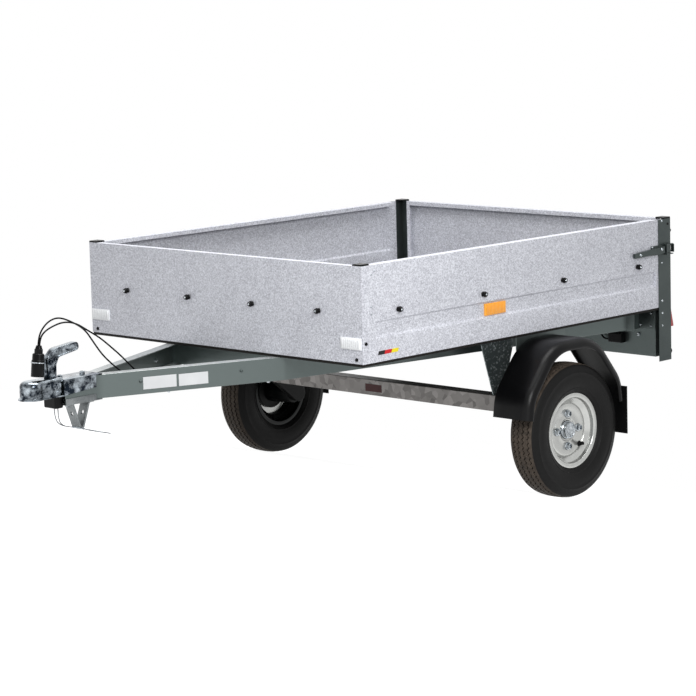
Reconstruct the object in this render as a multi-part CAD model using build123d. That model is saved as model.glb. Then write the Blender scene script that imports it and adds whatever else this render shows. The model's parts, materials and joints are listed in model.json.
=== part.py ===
"""Single-axle box utility trailer, parked nose-down on its two tyres and its V-shaped foot.

Everything is drawn in the level towing frame: X across (+X is the trailer's left), Y rearward with
the outer face of the front wall at Y = 0, Z up from level ground, all in millimetres. At the end one
rotation about the axle line lowers the nose until the foot stands on the ground, and the origin goes
to the bottom centre of the standing trailer.
"""
import os
from math import asin, atan2, degrees, hypot, radians, sin, cos, tan

from build123d import *

# Load box
box_width = 1154.0          # over the outer faces of the side walls
box_length = 1358.0         # front wall face to the rear end of the side walls
wall_height = 280.0
bed_height = 511.0          # underside of the side walls above level ground
sheet = 1.5                 # galvanised wall sheet
floor_thickness = 8.0
floor_edge_gap = 1.0
top_rail_width = 28.0
top_rail_drop = 13.0
front_rail_width = 20.0
front_rail_drop = 9.0
bottom_flange = 20.0
swage_low = 68.0            # recess band of the side walls, heights above the wall's lower edge
swage_high = 118.0
swage_depth = 6.0
swage_slope = 6.0
swage_start = 55.0          # flat riveted margin at the front
joggle_width = 10.0         # side wall steps inward here to pass behind the rear post

# Corner posts and caps
post_size = 35.0
post_sheet = 2.0
post_setback = 13.0         # rear post's front edge behind the end of the side wall
post_depth = 62.0
post_lap = 27.0             # strip of the side wall that the rear post covers
post_drop = 174.0           # rear post below the walls
cap_size = 34.0
cap_height = 5.0
cap_round = 2.0

# Tailgate and its hinges
gate_depth = 21.0
gate_side_gap = 5.0
gate_bottom_gap = 3.0
gate_lip = 14.0
hinge_offset = 14.0         # hinge line behind the gate's outer face
hinge_drop = 3.0            # hinge line below the underside of the walls
hinge_positions = (-300.0, 300.0)
knuckle_radius = 7.0
knuckle_length = 24.0
knuckle_gap = 0.6
pin_radius = 4.0
pin_clearance = 0.4
leaf_thickness = 3.0
leaf_height = 40.0
leaf_width = 76.0

# Rear light panel, gussets, lamps and buffers
panel_depth = 49.0          # panel's front face ahead of the rear face
panel_side_gap = 25.0
panel_height = 154.0
gusset_height = 69.0
gusset_sheet = 2.0
gusset_reach = 38.0         # gusset's inner edge beyond the arm's outer face
lamp_side_gap = 4.0
lamp_width = 133.0
lamp_height = 59.0
lamp_top_gap = 0.5
lens_inner_lap = 4.0
lens_outer_gap = 5.0
lens_top_depth = 6.0
lens_bottom_depth = 19.0
lens_heel = 6.0
lens_round = 2.0
buffer_radius = 10.0
buffer_length = 14.0
buffer_chamfer = 3.0
buffer_rise = 26.0          # above the rear post's lower end
connector_width = 53.0
connector_height = 32.0
connector_inset = 26.0      # its outer side beyond the lamp's inner side
connector_drop = 24.0       # below the lamp
connector_depth = 26.0

# Drawbar and chassis
arm_height = 68.0
arm_flange = 35.0
arm_sheet = 3.5
arm_end = -641.0
arm_gap = 1.0               # between the flanges where the two arms meet
arm_front_x = 33.0          # outer web face beside the coupling
arm_front_bend = -512.0
arm_knee = (248.0, 15.0)    # second bend, under the front wall: X, Y
arm_rear_x = 488.0
arm_bend_radius = 60.0
arm_tab_back = 103.0        # outward tab, ahead of the rear face
arm_tab_width = 32.0
cross_member_width = 60.0
cross_member_y = (26.0, 560.0, 1240.0)
base_length = 135.0
base_sheet = 3.0
base_side = 16.0            # height of the base channel's sides on the webs

# Ball coupling, for a 50 mm ball
ball_diameter = 50.0
ball_clearance = 0.3
ball_ahead = 95.0           # ball centre ahead of the arms
ball_drop = 27.0            # ball centre below the arms' top
head_rise = 10.0            # head above the arms' top
head_height = 53.0
head_radius = 33.0
head_crown = 18.0
head_half_width = 28.0
head_shell = 5.0
skirt_reach = 5.0
skirt_thickness = 3.5
side_recess = (56.0, 24.0, 2.0)         # length, height, depth of the pressed side panel
side_recess_back = 42.0
socket_wall = 7.0
yoke_length = 135.0
yoke_cheek_length = 113.0
yoke_cheek_rear = 33.0      # cheek's height at its rear end
yoke_cheek_front = 41.0
yoke_sheet = 4.0
yoke_lap = 4.0              # yoke's front edge ahead of the arms' ends
yoke_tongue = 30.0

# Lever handle on the coupling, in the side view from the arms' front end and top: Y, Z
handle_outline = (
    (-39.0, 10.0),
    (-9.0, 10.0),
    (-8.0, 44.0),
    (2.0, 65.0),
    (78.0, 78.0),
    (74.0, 101.0),
    (-14.0, 91.0),
    (-40.0, 66.0),
)
handle_rounds = (0.0, 0.0, 12.0, 10.0, 10.0, 10.0, 26.0, 20.0)
handle_half_width = 10.0
handle_rim = 4.0
handle_recess = 4.0
handle_pivot = (-25.0, 56.0)
handle_rivet = 6.0

# Parking foot: a strip bent into a V under the drawbar
foot_width = 35.0
foot_strip = 6.0
foot_back = 71.0            # the foot's middle behind the arms' front end
foot_spread = 60.0
foot_drop = 71.0            # lower bend's centre below the arms
foot_bend_radius = 7.0
foot_hole_radius = 5.5
foot_hole_drop = 36.0
foot_tab = 16.0

# Axle: square tube with rubber-sprung trailing arms
swing_reach = 100.0         # axle tube ahead of the wheel centre
swing_rise = 80.5           # axle tube above the wheel centre
axle_tube = 50.0
axle_wall = 4.0
axle_half_length = 500.0
bracket_inset = 45.0        # bracket plate inboard of the tube's end
bracket_plate = 4.0
bracket_top_length = 156.0
bracket_knee = 26.0         # straight part of the bracket's front edge below the floor
bracket_hem = 22.0
swing_arm_thickness = 24.0
swing_arm_end_radius = 26.0
stub_radius = 12.5
stub_past_centre = 6.0

# Wheels, 4.00-8
wheel_y = 826.0
track_half = 626.0
tyre_radius = 206.5
tyre_width = 104.0
tyre_wall = 9.0
tread_thickness = 19.0
tread_drop = 7.0            # shoulder below the tread's middle
rim_flange_radius = 115.0
rim_flange_height = 12.0
rim_half_width = 37.0
rim_sheet = 2.5
seat_inner = 21.0           # inner edge of the bead seat from the wheel's middle
well_half = 12.0
well_radius = 84.0
disc_back = 4.0             # back of the disc's outer ring, outboard of the wheel's middle
disc_rise = 8.0             # bolt face outboard of that ring
disc_plate = 3.0
bolt_circle = 50.0          # radius
bolt_land = 12.0            # flat of the disc on each side of the bolt circle
bolt_hole_radius = 6.5
bolt_clearance = 0.5
nut_radius = 9.5
nut_height = 11.0
centre_bore_radius = 29.0
pilot_clearance = 1.0
hub_flange_radius = 60.0
hub_barrel_radius = 38.0
hub_back_radius = 32.0
hub_waist = 22.0            # inboard of the wheel's middle
hub_gap = 2.0               # between hub and trailing arm
hub_relief = 3.0
hub_cap_radius = 25.0
hub_cap_front = 48.0
hub_cap_round = 5.0
hub_cap_seat = 20.0
hub_clearance = 0.4

# Mudguards
fender_ahead = 12.0         # mudguard's middle ahead of the wheel centre
fender_inboard = 74.0       # inner edge inboard of the wheel's middle
fender_outboard = 68.0
fender_drop = 14.0          # mudguard's top below the floor board
fender_foot = 67.5          # lower edge above the wheel centre
fender_shoulder = 135.5
fender_half_foot = 235.0
fender_half_shoulder = 225.0
fender_half_top = 103.0
fender_sheet = 4.0
fender_corner_radius = 62.0
fender_lip = 28.0
fender_inner_lip = 14.0
fender_crown_radius = 26.0
fender_plate = (116.0, 46.0, 3.0, 26.0)     # half length, height, thickness and top flange of the carrier
flap_length = 148.0
flap_overlap = 40.0
flap_thickness = 4.0
flap_inset = 34.0
flap_gap = 0.3

# Fittings on the box
button_rise = 142.0         # above the wall's lower edge
front_button_pitch = 271.0
side_button_first = 150.0
side_button_pitch = 370.0
button_head_radius = 9.0
button_neck_radius = 5.5
button_length = 16.0
button_neck_share = 0.3     # height of the narrowest place
button_foot_step = 1.0
button_crown = 3.0
rear_button_rise = 239.0
rear_button_inset = 15.0
gate_button_x = 187.0
front_reflector = (80.0, 34.0, 6.0)     # width, height, depth
front_reflector_inset = 44.0
front_reflector_rise = 58.0
side_reflector = (95.0, 42.0, 6.0)      # length, height, depth
side_reflector_y = 578.0

# Latches
latch_rise = 184.0          # above the wall's lower edge
latch_base = (103.0, 38.0, 30.0)        # front and rear ends ahead of the rear face, height
latch_sheet = 3.0
latch_lever = (151.0, 22.0, 14.0, 10.0)     # length, height at the pivot and at the tip, thickness
latch_lever_setback = 8.0   # lever's rear end ahead of the base's
latch_lever_fall = 6.0      # the tip's middle below the pivot's
latch_guide = (37.0, 3.0, 34.0)
latch_guide_reach = 14.0
latch_gap = 6.0
catch_width = 40.0
catch_height = 32.0
loop_height = 26.0
loop_wall = 6.0
loop_seat = 20.0            # loop's inner end inboard of the gate's edge
loop_stand = 8.0

# Seven-pin plug in its wire ring
plug_radius = 18.5
plug_ahead = 71.0           # plug's foot ahead of the arms
plug_rise = 18.0            # above the arms' top
plug_height = 66.0
plug_body_share = 0.7       # height of the wide lower part
plug_step = 1.5
plug_crown = 3.0
plug_lean = -7.0            # degrees, the top leaning rearward
gland_radius = 10.5
gland_nut = 12.0
gland_neck = 10.0
ring_height = 40.0          # above the plug's foot
ring_wire = 1.5
ring_grip = 0.3             # how far the wire bites into the plug
ring_tail_start = 1.0       # beyond the wire's middle
ring_tail = 20.0

# Cables from a clip in the left arm to the plug, in the level frame
cable_radius = 2.4
cable_clip = (26.0, 16.0, 30.0)         # length along the arm, width, height
cable_clip_y = -219.0
cable_clip_z = 462.0
upper_cable = (
    (135.2, -231.0, 468.0),
    (119.3, -270.0, 468.0),
    (93.0, -305.0, 467.0),
    (64.0, -334.0, 465.0),
    (30.0, -362.0, 470.0),
    (6.0, -395.0, 487.0),
    (-4.0, -428.0, 517.0),
    (-6.0, -465.0, 551.0),
    (-5.0, -497.0, 592.0),
    (-4.0, -528.0, 632.0),
    (-4.0, -576.0, 660.0),
    (-4.0, -622.0, 678.0),
    (-4.0, -658.0, 672.0),
    (-3.6, -685.0, 652.0),
    (-3.2, -698.8, 628.3),
    (-3.0, -701.3, 608.3),
)
lower_cable = (
    (135.2, -231.0, 456.0),
    (123.9, -258.8, 456.0),
    (92.0, -284.0, 455.0),
    (60.0, -310.0, 458.0),
    (30.0, -338.0, 470.0),
    (10.0, -364.0, 500.0),
    (5.0, -398.0, 536.0),
    (4.0, -436.0, 568.0),
    (3.0, -478.0, 602.0),
    (3.0, -522.0, 628.0),
    (3.0, -566.0, 655.0),
    (3.0, -612.0, 664.0),
    (3.0, -653.0, 656.0),
    (3.0, -684.0, 644.0),
    (3.0, -699.1, 626.2),
    (3.0, -701.3, 608.3),
)

# Breakaway cable, lying on the ground beside the coupling, in the standing frame
rope_radius = 1.5
rope_points = (
    (10.0, -971.0, 46.5),
    (10.0, -966.6, 29.5),
    (21.0, -963.0, 9.0),
    (42.0, -960.0, 2.2),
    (68.0, -957.0, 2.2),
    (96.0, -950.5, 3.2),
    (124.0, -945.0, 2.4),
    (150.0, -955.0, 1.8),
    (171.0, -978.0, 1.8),
    (199.0, -987.0, 1.8),
    (222.0, -969.0, 1.8),
    (221.0, -938.0, 1.8),
    (196.0, -918.0, 1.8),
    (161.0, -920.0, 1.8),
    (130.0, -937.5, 2.4),
    (95.0, -946.5, 3.2),
    (67.0, -953.0, 2.2),
    (41.0, -953.0, 2.2),
    (21.0, -953.0, 9.5),
    (10.0, -953.8, 31.9),
    (10.0, -958.4, 49.8),
)
ferrule_length = 36.0
ferrule_half = (3.4, 6.0)   # half height, half width
ferrule_place = (96.0, -948.5)
ferrule_turn = 13.5
holder_size = (46.0, 31.0, 34.0)
holder_round = 5.0

# Worked-out places
half_width = box_width / 2
wall_top = bed_height + wall_height
floor_bottom = bed_height - floor_thickness
arm_top = floor_bottom
arm_bottom = arm_top - arm_height
rear_post_front = box_length + post_setback
rear_face = rear_post_front + post_depth
rear_post_bottom = bed_height - post_drop
post_inner = half_width - post_size
hinge_y = rear_face + hinge_offset
hinge_z = bed_height - hinge_drop
gate_half_width = post_inner - gate_side_gap
gate_bottom = bed_height + gate_bottom_gap
panel_face = rear_face - panel_depth
panel_half_width = half_width - panel_side_gap
panel_bottom = floor_bottom - panel_height
lamp_outer = post_inner - lamp_side_gap
lamp_inner = lamp_outer - lamp_width
lamp_top = floor_bottom - sheet - lamp_top_gap
lamp_bottom = lamp_top - lamp_height
arm_rear_y = panel_face
arm_path = (                # outer web face of the left arm, seen from above: X, Y
    (arm_front_x, arm_end),
    (arm_front_x, arm_front_bend),
    arm_knee,
    (arm_rear_x, arm_rear_y),
)
ball_y = arm_end - ball_ahead
ball_z = arm_top - ball_drop
head_top = arm_top + head_rise
head_bottom = head_top - head_height
foot_y = arm_end + foot_back
foot_bend_z = arm_bottom - foot_drop
axle_y = wheel_y - swing_reach
axle_z = tyre_radius + swing_rise
axle_top = axle_z + axle_tube / 2
bracket_x = axle_half_length - bracket_inset
rim_seat_radius = rim_flange_radius - rim_flange_height
fender_y = wheel_y - fender_ahead
fender_inner = track_half - fender_inboard
fender_outer = track_half + fender_outboard
fender_top = floor_bottom - fender_drop
fender_bottom = tyre_radius + fender_foot


def block(x0, x1, y0, y1, z0, z1):
    """Axis-aligned box between the given limits."""
    return Pos((x0 + x1) / 2, (y0 + y1) / 2, (z0 + z1) / 2) * Box(abs(x1 - x0), abs(y1 - y0), abs(z1 - z0))


def plan(points, z0, z1):
    """Closed outline seen from above, extruded from z0 to z1."""
    return Pos(0, 0, z0) * extrude(make_face(Polyline(*points, close=True)), z1 - z0)


def side(sketch, x0, x1):
    """Sketch in the side view (Y, Z), extruded from x0 to x1."""
    return Pos(x0, 0, 0) * extrude(Plane.YZ * sketch, x1 - x0)


def side_outline(points, x0, x1):
    return side(make_face(Polyline(*points, close=True)), x0, x1)


def rod_x(radius, y, z, x0, x1):
    return Pos((x0 + x1) / 2, y, z) * Rot(0, 90, 0) * Cylinder(radius, abs(x1 - x0))


def rod_y(radius, x, z, y0, y1):
    return Pos(x, (y0 + y1) / 2, z) * Rot(90, 0, 0) * Cylinder(radius, abs(y1 - y0))


def rod_z(radius, x, y, z0, z1):
    return Pos(x, y, (z0 + z1) / 2) * Cylinder(radius, abs(z1 - z0))


def other_side(shape):
    return mirror(shape, about=Plane.YZ)


def both_sides(shape):
    return [shape, other_side(shape)]


# Chassis

def arm_plan(inset):
    """Strip of the left drawbar arm seen from above, from its outer face inward by inset."""
    path = FilletPolyline(*arm_path, radius=arm_bend_radius)
    return make_face(offset(path, amount=inset, side=Side.LEFT))


def arm_outer_x(y, stretch=2):
    """X of the left arm's outer face; stretch 2 is under the box, 1 is the drawbar."""
    (x0, y0), (x1, y1) = arm_path[stretch:stretch + 2]
    return x0 + (x1 - x0) * (y - y0) / (y1 - y0)


def arm_turn(stretch=2):
    """Angle of the arm from the Y axis, in degrees."""
    (x0, y0), (x1, y1) = arm_path[stretch:stretch + 2]
    return degrees(atan2(x1 - x0, y1 - y0))


def drawbar_arm():
    web = Pos(0, 0, arm_bottom) * extrude(arm_plan(arm_sheet), arm_height)
    flange = extrude(arm_plan(arm_flange), arm_sheet)
    arm = web + Pos(0, 0, arm_bottom) * flange + Pos(0, 0, arm_top - arm_sheet) * flange
    arm -= block(-arm_flange, arm_gap / 2, arm_end - 1, 0, arm_bottom - 1, arm_top + 1)
    stop = panel_face - gusset_sheet
    arm -= block(0, half_width, stop, stop + arm_flange, arm_bottom - 1, arm_top + 1)
    y = rear_face - arm_tab_back
    x = arm_outer_x(y)
    return arm + block(x - arm_sheet / 2, x + arm_tab_width, y - arm_sheet, y, arm_bottom, arm_top)


def cross_member(y):
    """Channel between the two arms, its ends on the arms' inner web faces, open to the rear."""
    y1 = y + cross_member_width
    clear = arm_sheet / cos(radians(arm_turn()))

    def ends(ya, yb):
        xa = arm_outer_x(ya) - clear
        xb = arm_outer_x(yb) - clear
        return ((-xa, ya), (xa, ya), (xb, yb), (-xb, yb))

    low = arm_bottom + arm_sheet
    high = arm_top - arm_sheet
    body = plan(ends(y, y + arm_sheet), low, high)
    body += plan(ends(y, y1), low, low + arm_sheet)
    body += plan(ends(y, y1), high - arm_sheet, high)
    return body


def base_channel():
    """Channel under the arms' front ends, its sides turned up on the webs."""
    x0 = arm_path[0][0]
    x1 = x0 + base_sheet
    y1 = arm_end + base_length
    low = arm_bottom - base_sheet
    channel = block(-x1, x1, arm_end, y1, low, arm_bottom)
    straight = arm_end + yoke_cheek_length
    for wall in both_sides(block(x0, x1, arm_end, straight, low, arm_bottom + base_side)):
        channel += wall
    return channel


def parking_foot():
    """Strip bent into a V, its two top tabs bolted under the base channel."""
    top = arm_bottom - base_sheet - foot_strip / 2
    half = foot_spread / 2
    drop = top - foot_bend_z
    leg_lean = atan2(half, drop) - asin(foot_bend_radius / hypot(half, drop))
    centre = FilletPolyline(
        (foot_y - half - foot_tab, top),
        (foot_y - half, top),
        (foot_y, foot_bend_z - foot_bend_radius / sin(leg_lean)),
        (foot_y + half, top),
        (foot_y + half + foot_tab, top),
        radius=foot_bend_radius,
    )
    outline = make_face(offset(centre, amount=foot_strip / 2, side=Side.BOTH))
    strip = side(outline, -foot_width / 2, foot_width / 2)
    return strip - rod_y(foot_hole_radius, 0, arm_bottom - foot_hole_drop, foot_y - foot_spread, foot_y + foot_spread)


def rear_gusset():
    """Plate riveted to the light panel, where the arm's end stops."""
    x0 = arm_rear_x - gusset_reach
    return block(x0, panel_half_width, panel_face - gusset_sheet, panel_face, floor_bottom - gusset_height,
                 floor_bottom)


# Load box

def floor_panel():
    """Board on the arms; the walls and front posts stand on it and the rear posts pass it."""
    x = half_width - post_sheet - floor_edge_gap
    return block(-x, x, floor_edge_gap, rear_post_front + post_lap, floor_bottom, bed_height)


def front_wall():
    web = block(-half_width, half_width, 0, sheet, bed_height, wall_top)
    web += block(-post_inner, post_inner, 0, bottom_flange, bed_height, bed_height + sheet)
    x = post_inner
    rail = block(-x, x, 0, front_rail_width, wall_top - sheet, wall_top)
    drop = block(-x, x, front_rail_width - sheet, front_rail_width, wall_top - front_rail_drop, wall_top)
    return web + rail + drop


def side_wall():
    outer = half_width
    inner = outer - sheet
    low = bed_height + swage_low
    high = bed_height + swage_high
    recess = outer - swage_depth
    skin = (
        (outer, bed_height), (outer, low), (recess, low + swage_slope),
        (recess, high - swage_slope), (outer, high), (outer, wall_top),
        (inner, wall_top), (inner, high), (recess - sheet, high - swage_slope),
        (recess - sheet, low + swage_slope), (inner, low), (inner, bed_height),
    )
    face = Plane.XZ * make_face(Polyline(*skin, close=True))
    web = extrude(face, -(box_length - swage_start))
    web = Pos(0, swage_start, 0) * web
    web += block(inner, outer, sheet, swage_start, bed_height, wall_top)
    web += block(recess - sheet, outer, swage_start - sheet, swage_start, low, high)
    web += block(recess - sheet, outer, box_length - sheet, box_length, low, high)
    web += block(outer - top_rail_width, outer, sheet + post_size, box_length, wall_top - sheet, wall_top)
    lip = outer - top_rail_width
    web += block(lip, lip + sheet, sheet + post_size, box_length, wall_top - top_rail_drop, wall_top)
    web += block(outer - bottom_flange, outer, sheet + post_size, box_length, bed_height, bed_height + sheet)
    tuck = outer - post_sheet
    strip = (
        (outer, box_length), (tuck, box_length + joggle_width), (tuck, rear_post_front + post_lap),
        (tuck - sheet, rear_post_front + post_lap), (tuck - sheet, box_length + joggle_width),
        (inner, box_length),
    )
    return web + plan(strip, bed_height, wall_top)


def front_post():
    """Square tube inside the front corner."""
    x1 = half_width - sheet
    y0 = sheet
    tube = block(x1 - post_size + sheet, x1, y0, y0 + post_size, bed_height, wall_top)
    hollow = block(x1 - post_size + sheet + post_sheet, x1 - post_sheet, y0 + post_sheet,
                   y0 + post_size - post_sheet, bed_height - 1, wall_top + 1)
    return tube - hollow


def rear_post():
    """Angle from the top of the walls down past the light panel."""
    web = block(half_width - post_sheet, half_width, rear_post_front, rear_face, rear_post_bottom, wall_top)
    flange = block(post_inner, half_width, rear_face - post_sheet, rear_face, rear_post_bottom, wall_top)
    return web + flange


def post_cap(x1, y0, y1):
    plate = block(x1 - cap_size, x1, y0, y1, wall_top, wall_top + cap_height)
    return fillet(plate.edges().group_by(Axis.Z)[-1], cap_round)


def light_panel():
    x = panel_half_width
    top = floor_bottom
    back = rear_face - post_sheet
    face = block(-x, x, panel_face, panel_face + sheet, panel_bottom, top)
    shelf = block(-x, x, panel_face, back, panel_bottom, panel_bottom + sheet)
    roof = block(-x, x, panel_face, back, top - sheet, top)
    ends = both_sides(block(x - sheet, x, panel_face, back, panel_bottom, top))
    body = face + shelf + roof
    for end in ends:
        body += end
    return body


# Tailgate

def tailgate():
    x = gate_half_width
    y0 = rear_face - gate_depth
    skin = block(-x, x, rear_face - sheet, rear_face, gate_bottom, wall_top)
    frame = block(-x, x, y0, rear_face, gate_bottom, wall_top)
    frame -= block(-x + sheet, x - sheet, y0 + sheet, rear_face - sheet, gate_bottom + sheet, wall_top - sheet)
    frame -= block(-x + gate_lip, x - gate_lip, y0 - 1, y0 + sheet, gate_bottom + gate_lip, wall_top - gate_lip)
    return skin + frame


def hinge_leaf(x, z_edge, z_far, knuckles):
    """Leaf flat on the rear face, with an arm out to the knuckles on the hinge line."""
    leaf = block(x - leaf_width / 2, x + leaf_width / 2, rear_face, rear_face + leaf_thickness, z_edge, z_far)
    for x0, x1 in knuckles:
        leaf += rod_x(knuckle_radius, hinge_y, hinge_z, x0, x1)
        reach = ((rear_face, z_edge), (rear_face, z_far), (rear_face + leaf_thickness, z_far),
                 (hinge_y, hinge_z + (knuckle_radius if z_far > z_edge else -knuckle_radius)),
                 (hinge_y, hinge_z))
        leaf += side_outline(reach, x0, x1)
    return leaf


def gate_hinge(x):
    half = knuckle_length / 2
    leaf = hinge_leaf(x, gate_bottom, gate_bottom + leaf_height, ((x - half, x + half),))
    return leaf - rod_x(pin_radius + pin_clearance, hinge_y, hinge_z, x - half - 1, x + half + 1)


def frame_hinge(x):
    half = knuckle_length / 2
    end = leaf_width / 2
    top = floor_bottom
    leaf = hinge_leaf(x, top, top - leaf_height,
                      ((x - end, x - half - knuckle_gap), (x + half + knuckle_gap, x + end)))
    foot = block(x - end, x + end, rear_face - post_sheet, rear_face, top - leaf_height, top)
    return leaf + foot + rod_x(pin_radius, hinge_y, hinge_z, x - end, x + end)


# Lamps, reflectors, buttons and buffers

def lamp_housing():
    return block(lamp_inner, lamp_outer, panel_face + sheet, rear_face, lamp_bottom, lamp_top)


def lamp_lens():
    wedge = ((rear_face, lamp_bottom), (rear_face + lens_bottom_depth, lamp_bottom),
             (rear_face + lens_bottom_depth, lamp_bottom + lens_heel), (rear_face + lens_top_depth, lamp_top),
             (rear_face, lamp_top))
    lens = side_outline(wedge, lamp_inner - lens_inner_lap, half_width - lens_outer_gap)
    return fillet(lens.edges().filter_by(Axis.X).group_by(Axis.Y)[-1], lens_round)


def connector():
    x1 = lamp_inner + connector_inset
    z1 = lamp_bottom - connector_drop
    body = block(x1 - connector_width, x1, panel_face - connector_depth, panel_face, z1 - connector_height, z1)
    return fillet(body.edges().group_by(Axis.Y)[0], 4.0)


def buffer():
    x = half_width - rear_button_inset
    foot = rod_y(buffer_radius, x, rear_post_bottom + buffer_rise, rear_face, rear_face + buffer_length)
    return chamfer(foot.edges().group_by(Axis.Y)[-1], buffer_chamfer)


def button():
    """Tarpaulin button on a short neck, its seat at the origin and its axis along +Z."""
    neck, head, length = button_neck_radius, button_head_radius, button_length
    outline = Polyline((0, 0), (head - button_foot_step, 0), (neck, length * button_neck_share),
                       (head, length / 2), (head - button_crown, length), (0, length), close=True)
    return revolve(Plane.XZ * make_face(outline), Axis.Z)


def tarp_buttons():
    z = bed_height + button_rise
    shapes = []
    for step in (-1.5, -0.5, 0.5, 1.5):
        shapes.append(Pos(step * front_button_pitch, 0, z) * Rot(90, 0, 0) * button())
        y = side_button_first + (step + 1.5) * side_button_pitch
        shapes += both_sides(Pos(half_width, y, z) * Rot(0, 90, 0) * button())
    rear = Pos(half_width - rear_button_inset, rear_face, bed_height + rear_button_rise) * Rot(-90, 0, 0)
    return shapes + both_sides(rear * button())


def gate_buttons():
    seat = Pos(gate_button_x, rear_face, bed_height + rear_button_rise) * Rot(-90, 0, 0)
    return both_sides(seat * button())


def front_reflector_left():
    w, h, d = front_reflector
    x = half_width - front_reflector_inset
    z = bed_height + front_reflector_rise
    return block(x - w / 2, x + w / 2, -d, 0, z - h / 2, z + h / 2)


def side_reflector_left():
    length, h, d = side_reflector
    x0 = half_width - swage_depth
    z = bed_height + (swage_low + swage_high) / 2
    return block(x0, x0 + d, side_reflector_y - length / 2, side_reflector_y + length / 2,
                 z - h / 2 + 3, z + h / 2 - 3)


# Latches

def latch():
    """Toggle latch on the side: base plate, forward lever and the guide round the post."""
    front, rear, h = latch_base
    y0, y1 = rear_face - front, rear_face - rear
    z = bed_height + latch_rise
    x0 = half_width + latch_sheet
    body = block(half_width, x0, y0, y1, z - h / 2, z + h / 2)
    length, high, low, thickness = latch_lever
    pivot = y1 - latch_lever_setback
    tip = pivot - length
    tip_z = z - latch_lever_fall
    body += side_outline(((pivot, z + high / 2), (pivot, z - high / 2), (tip, tip_z - low / 2),
                          (tip, tip_z + low / 2)), x0, x0 + thickness)
    front, rear, h = latch_guide
    y0, y1 = rear_face - front, rear_face - rear
    reach = half_width + latch_guide_reach
    body += block(half_width, reach, y0, y1, z - h / 2, z + h / 2)
    return body - block(x0, reach + 1, y0 + latch_sheet, y1 + 1, z - h / 2 + latch_sheet, z + h / 2 - latch_sheet)


def latch_loop():
    """Catch on the tailgate with the loop that reaches out behind the post."""
    edge = gate_half_width
    z = bed_height + latch_rise
    t = latch_sheet
    x1 = edge - loop_wall
    catch = block(x1 - catch_width, x1, rear_face, rear_face + t, z - catch_height / 2, z + catch_height / 2)
    y = rear_face + latch_gap + t
    x0 = edge - loop_seat
    outer = half_width + loop_wall
    half = loop_height / 2
    loop = block(x0, outer, y, y + t, z - half, z + half)
    loop -= block(edge + loop_wall, outer - 2 * loop_wall, y - 1, y + t + 1, z - half + loop_wall,
                  z + half - loop_wall)
    stand = block(x0, x0 + loop_stand, rear_face + t, y, z - half, z + half)
    return catch + stand + loop


# Axle and wheels

def axle_beam():
    half = axle_tube / 2
    outer = block(-axle_half_length, axle_half_length, axle_y - half, axle_y + half, axle_z - half, axle_z + half)
    bore = half - axle_wall
    return outer - block(-axle_half_length - 1, axle_half_length + 1, axle_y - bore, axle_y + bore,
                         axle_z - bore, axle_z + bore)


def axle_bracket():
    """Plate on the axle tube, folded in under the floor and down the arm's web."""
    half_top = bracket_top_length / 2
    half_low = axle_tube / 2
    knee = floor_bottom - bracket_knee
    plate = side_outline(((axle_y - half_top, floor_bottom), (axle_y - half_top, knee),
                          (axle_y - half_low, axle_top), (axle_y + half_low, axle_top),
                          (axle_y + half_top, knee), (axle_y + half_top, floor_bottom)),
                         bracket_x - bracket_plate, bracket_x)
    y0, y1 = axle_y - half_top, axle_y + half_top
    xa, xb = arm_outer_x(y0), arm_outer_x(y1)
    roof = plan(((xa, y0), (bracket_x, y0), (bracket_x, y1), (xb, y1)), floor_bottom - bracket_plate, floor_bottom)
    hang = plan(((xa, y0), (xa + bracket_plate, y0), (xb + bracket_plate, y1), (xb, y1)),
                arm_bottom + bracket_hem, floor_bottom)
    return plate + roof + hang


def swing_arm():
    """Trailing arm from the tube's end to the wheel, with its stub axle."""
    x0 = axle_half_length
    x1 = x0 + swing_arm_thickness
    r = swing_arm_end_radius
    arm = rod_x(r, axle_y, axle_z, x0, x1) + rod_x(r, wheel_y, tyre_radius, x0, x1)
    angle = atan2(tyre_radius - axle_z, wheel_y - axle_y)
    dy, dz = -r * sin(angle), r * cos(angle)
    arm += side_outline(((axle_y + dy, axle_z + dz), (axle_y - dy, axle_z - dz),
                         (wheel_y - dy, tyre_radius - dz), (wheel_y + dy, tyre_radius + dz)), x0, x1)
    return arm + rod_x(stub_radius, wheel_y, tyre_radius, x1, track_half + stub_past_centre)


def turned(points):
    """Body of revolution about X from a closed outline of (x, radius) points."""
    return revolve(make_face(Polyline(*points, close=True)), Axis.X)


def tyre():
    """Hollow casing: beads on the rim, bulging walls and a slightly crowned tread."""
    half = tyre_width / 2
    bead = rim_half_width - rim_sheet
    foot = rim_flange_radius + tyre_wall / 4
    belly = (rim_flange_radius + tyre_radius) / 2 - 2
    bulge = belly - foot
    tread_half = half - tyre_wall
    outer = ((bead, rim_seat_radius), (bead, foot), (half - tyre_wall / 3, belly - bulge / 2), (half, belly),
             (half - tyre_wall / 4, belly + bulge / 2), (tread_half, tyre_radius - tread_drop),
             (tread_half / 2, tyre_radius))
    inner = ((bead - tyre_wall, rim_seat_radius), (tread_half, belly),
             (tread_half - tyre_wall, tyre_radius - tread_thickness))
    outer_left = [(-x, radius) for x, radius in outer[::-1]]
    inner_left = [(-x, radius) for x, radius in inner]
    return turned((*outer, *outer_left, *inner_left, *inner[::-1]))


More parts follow.
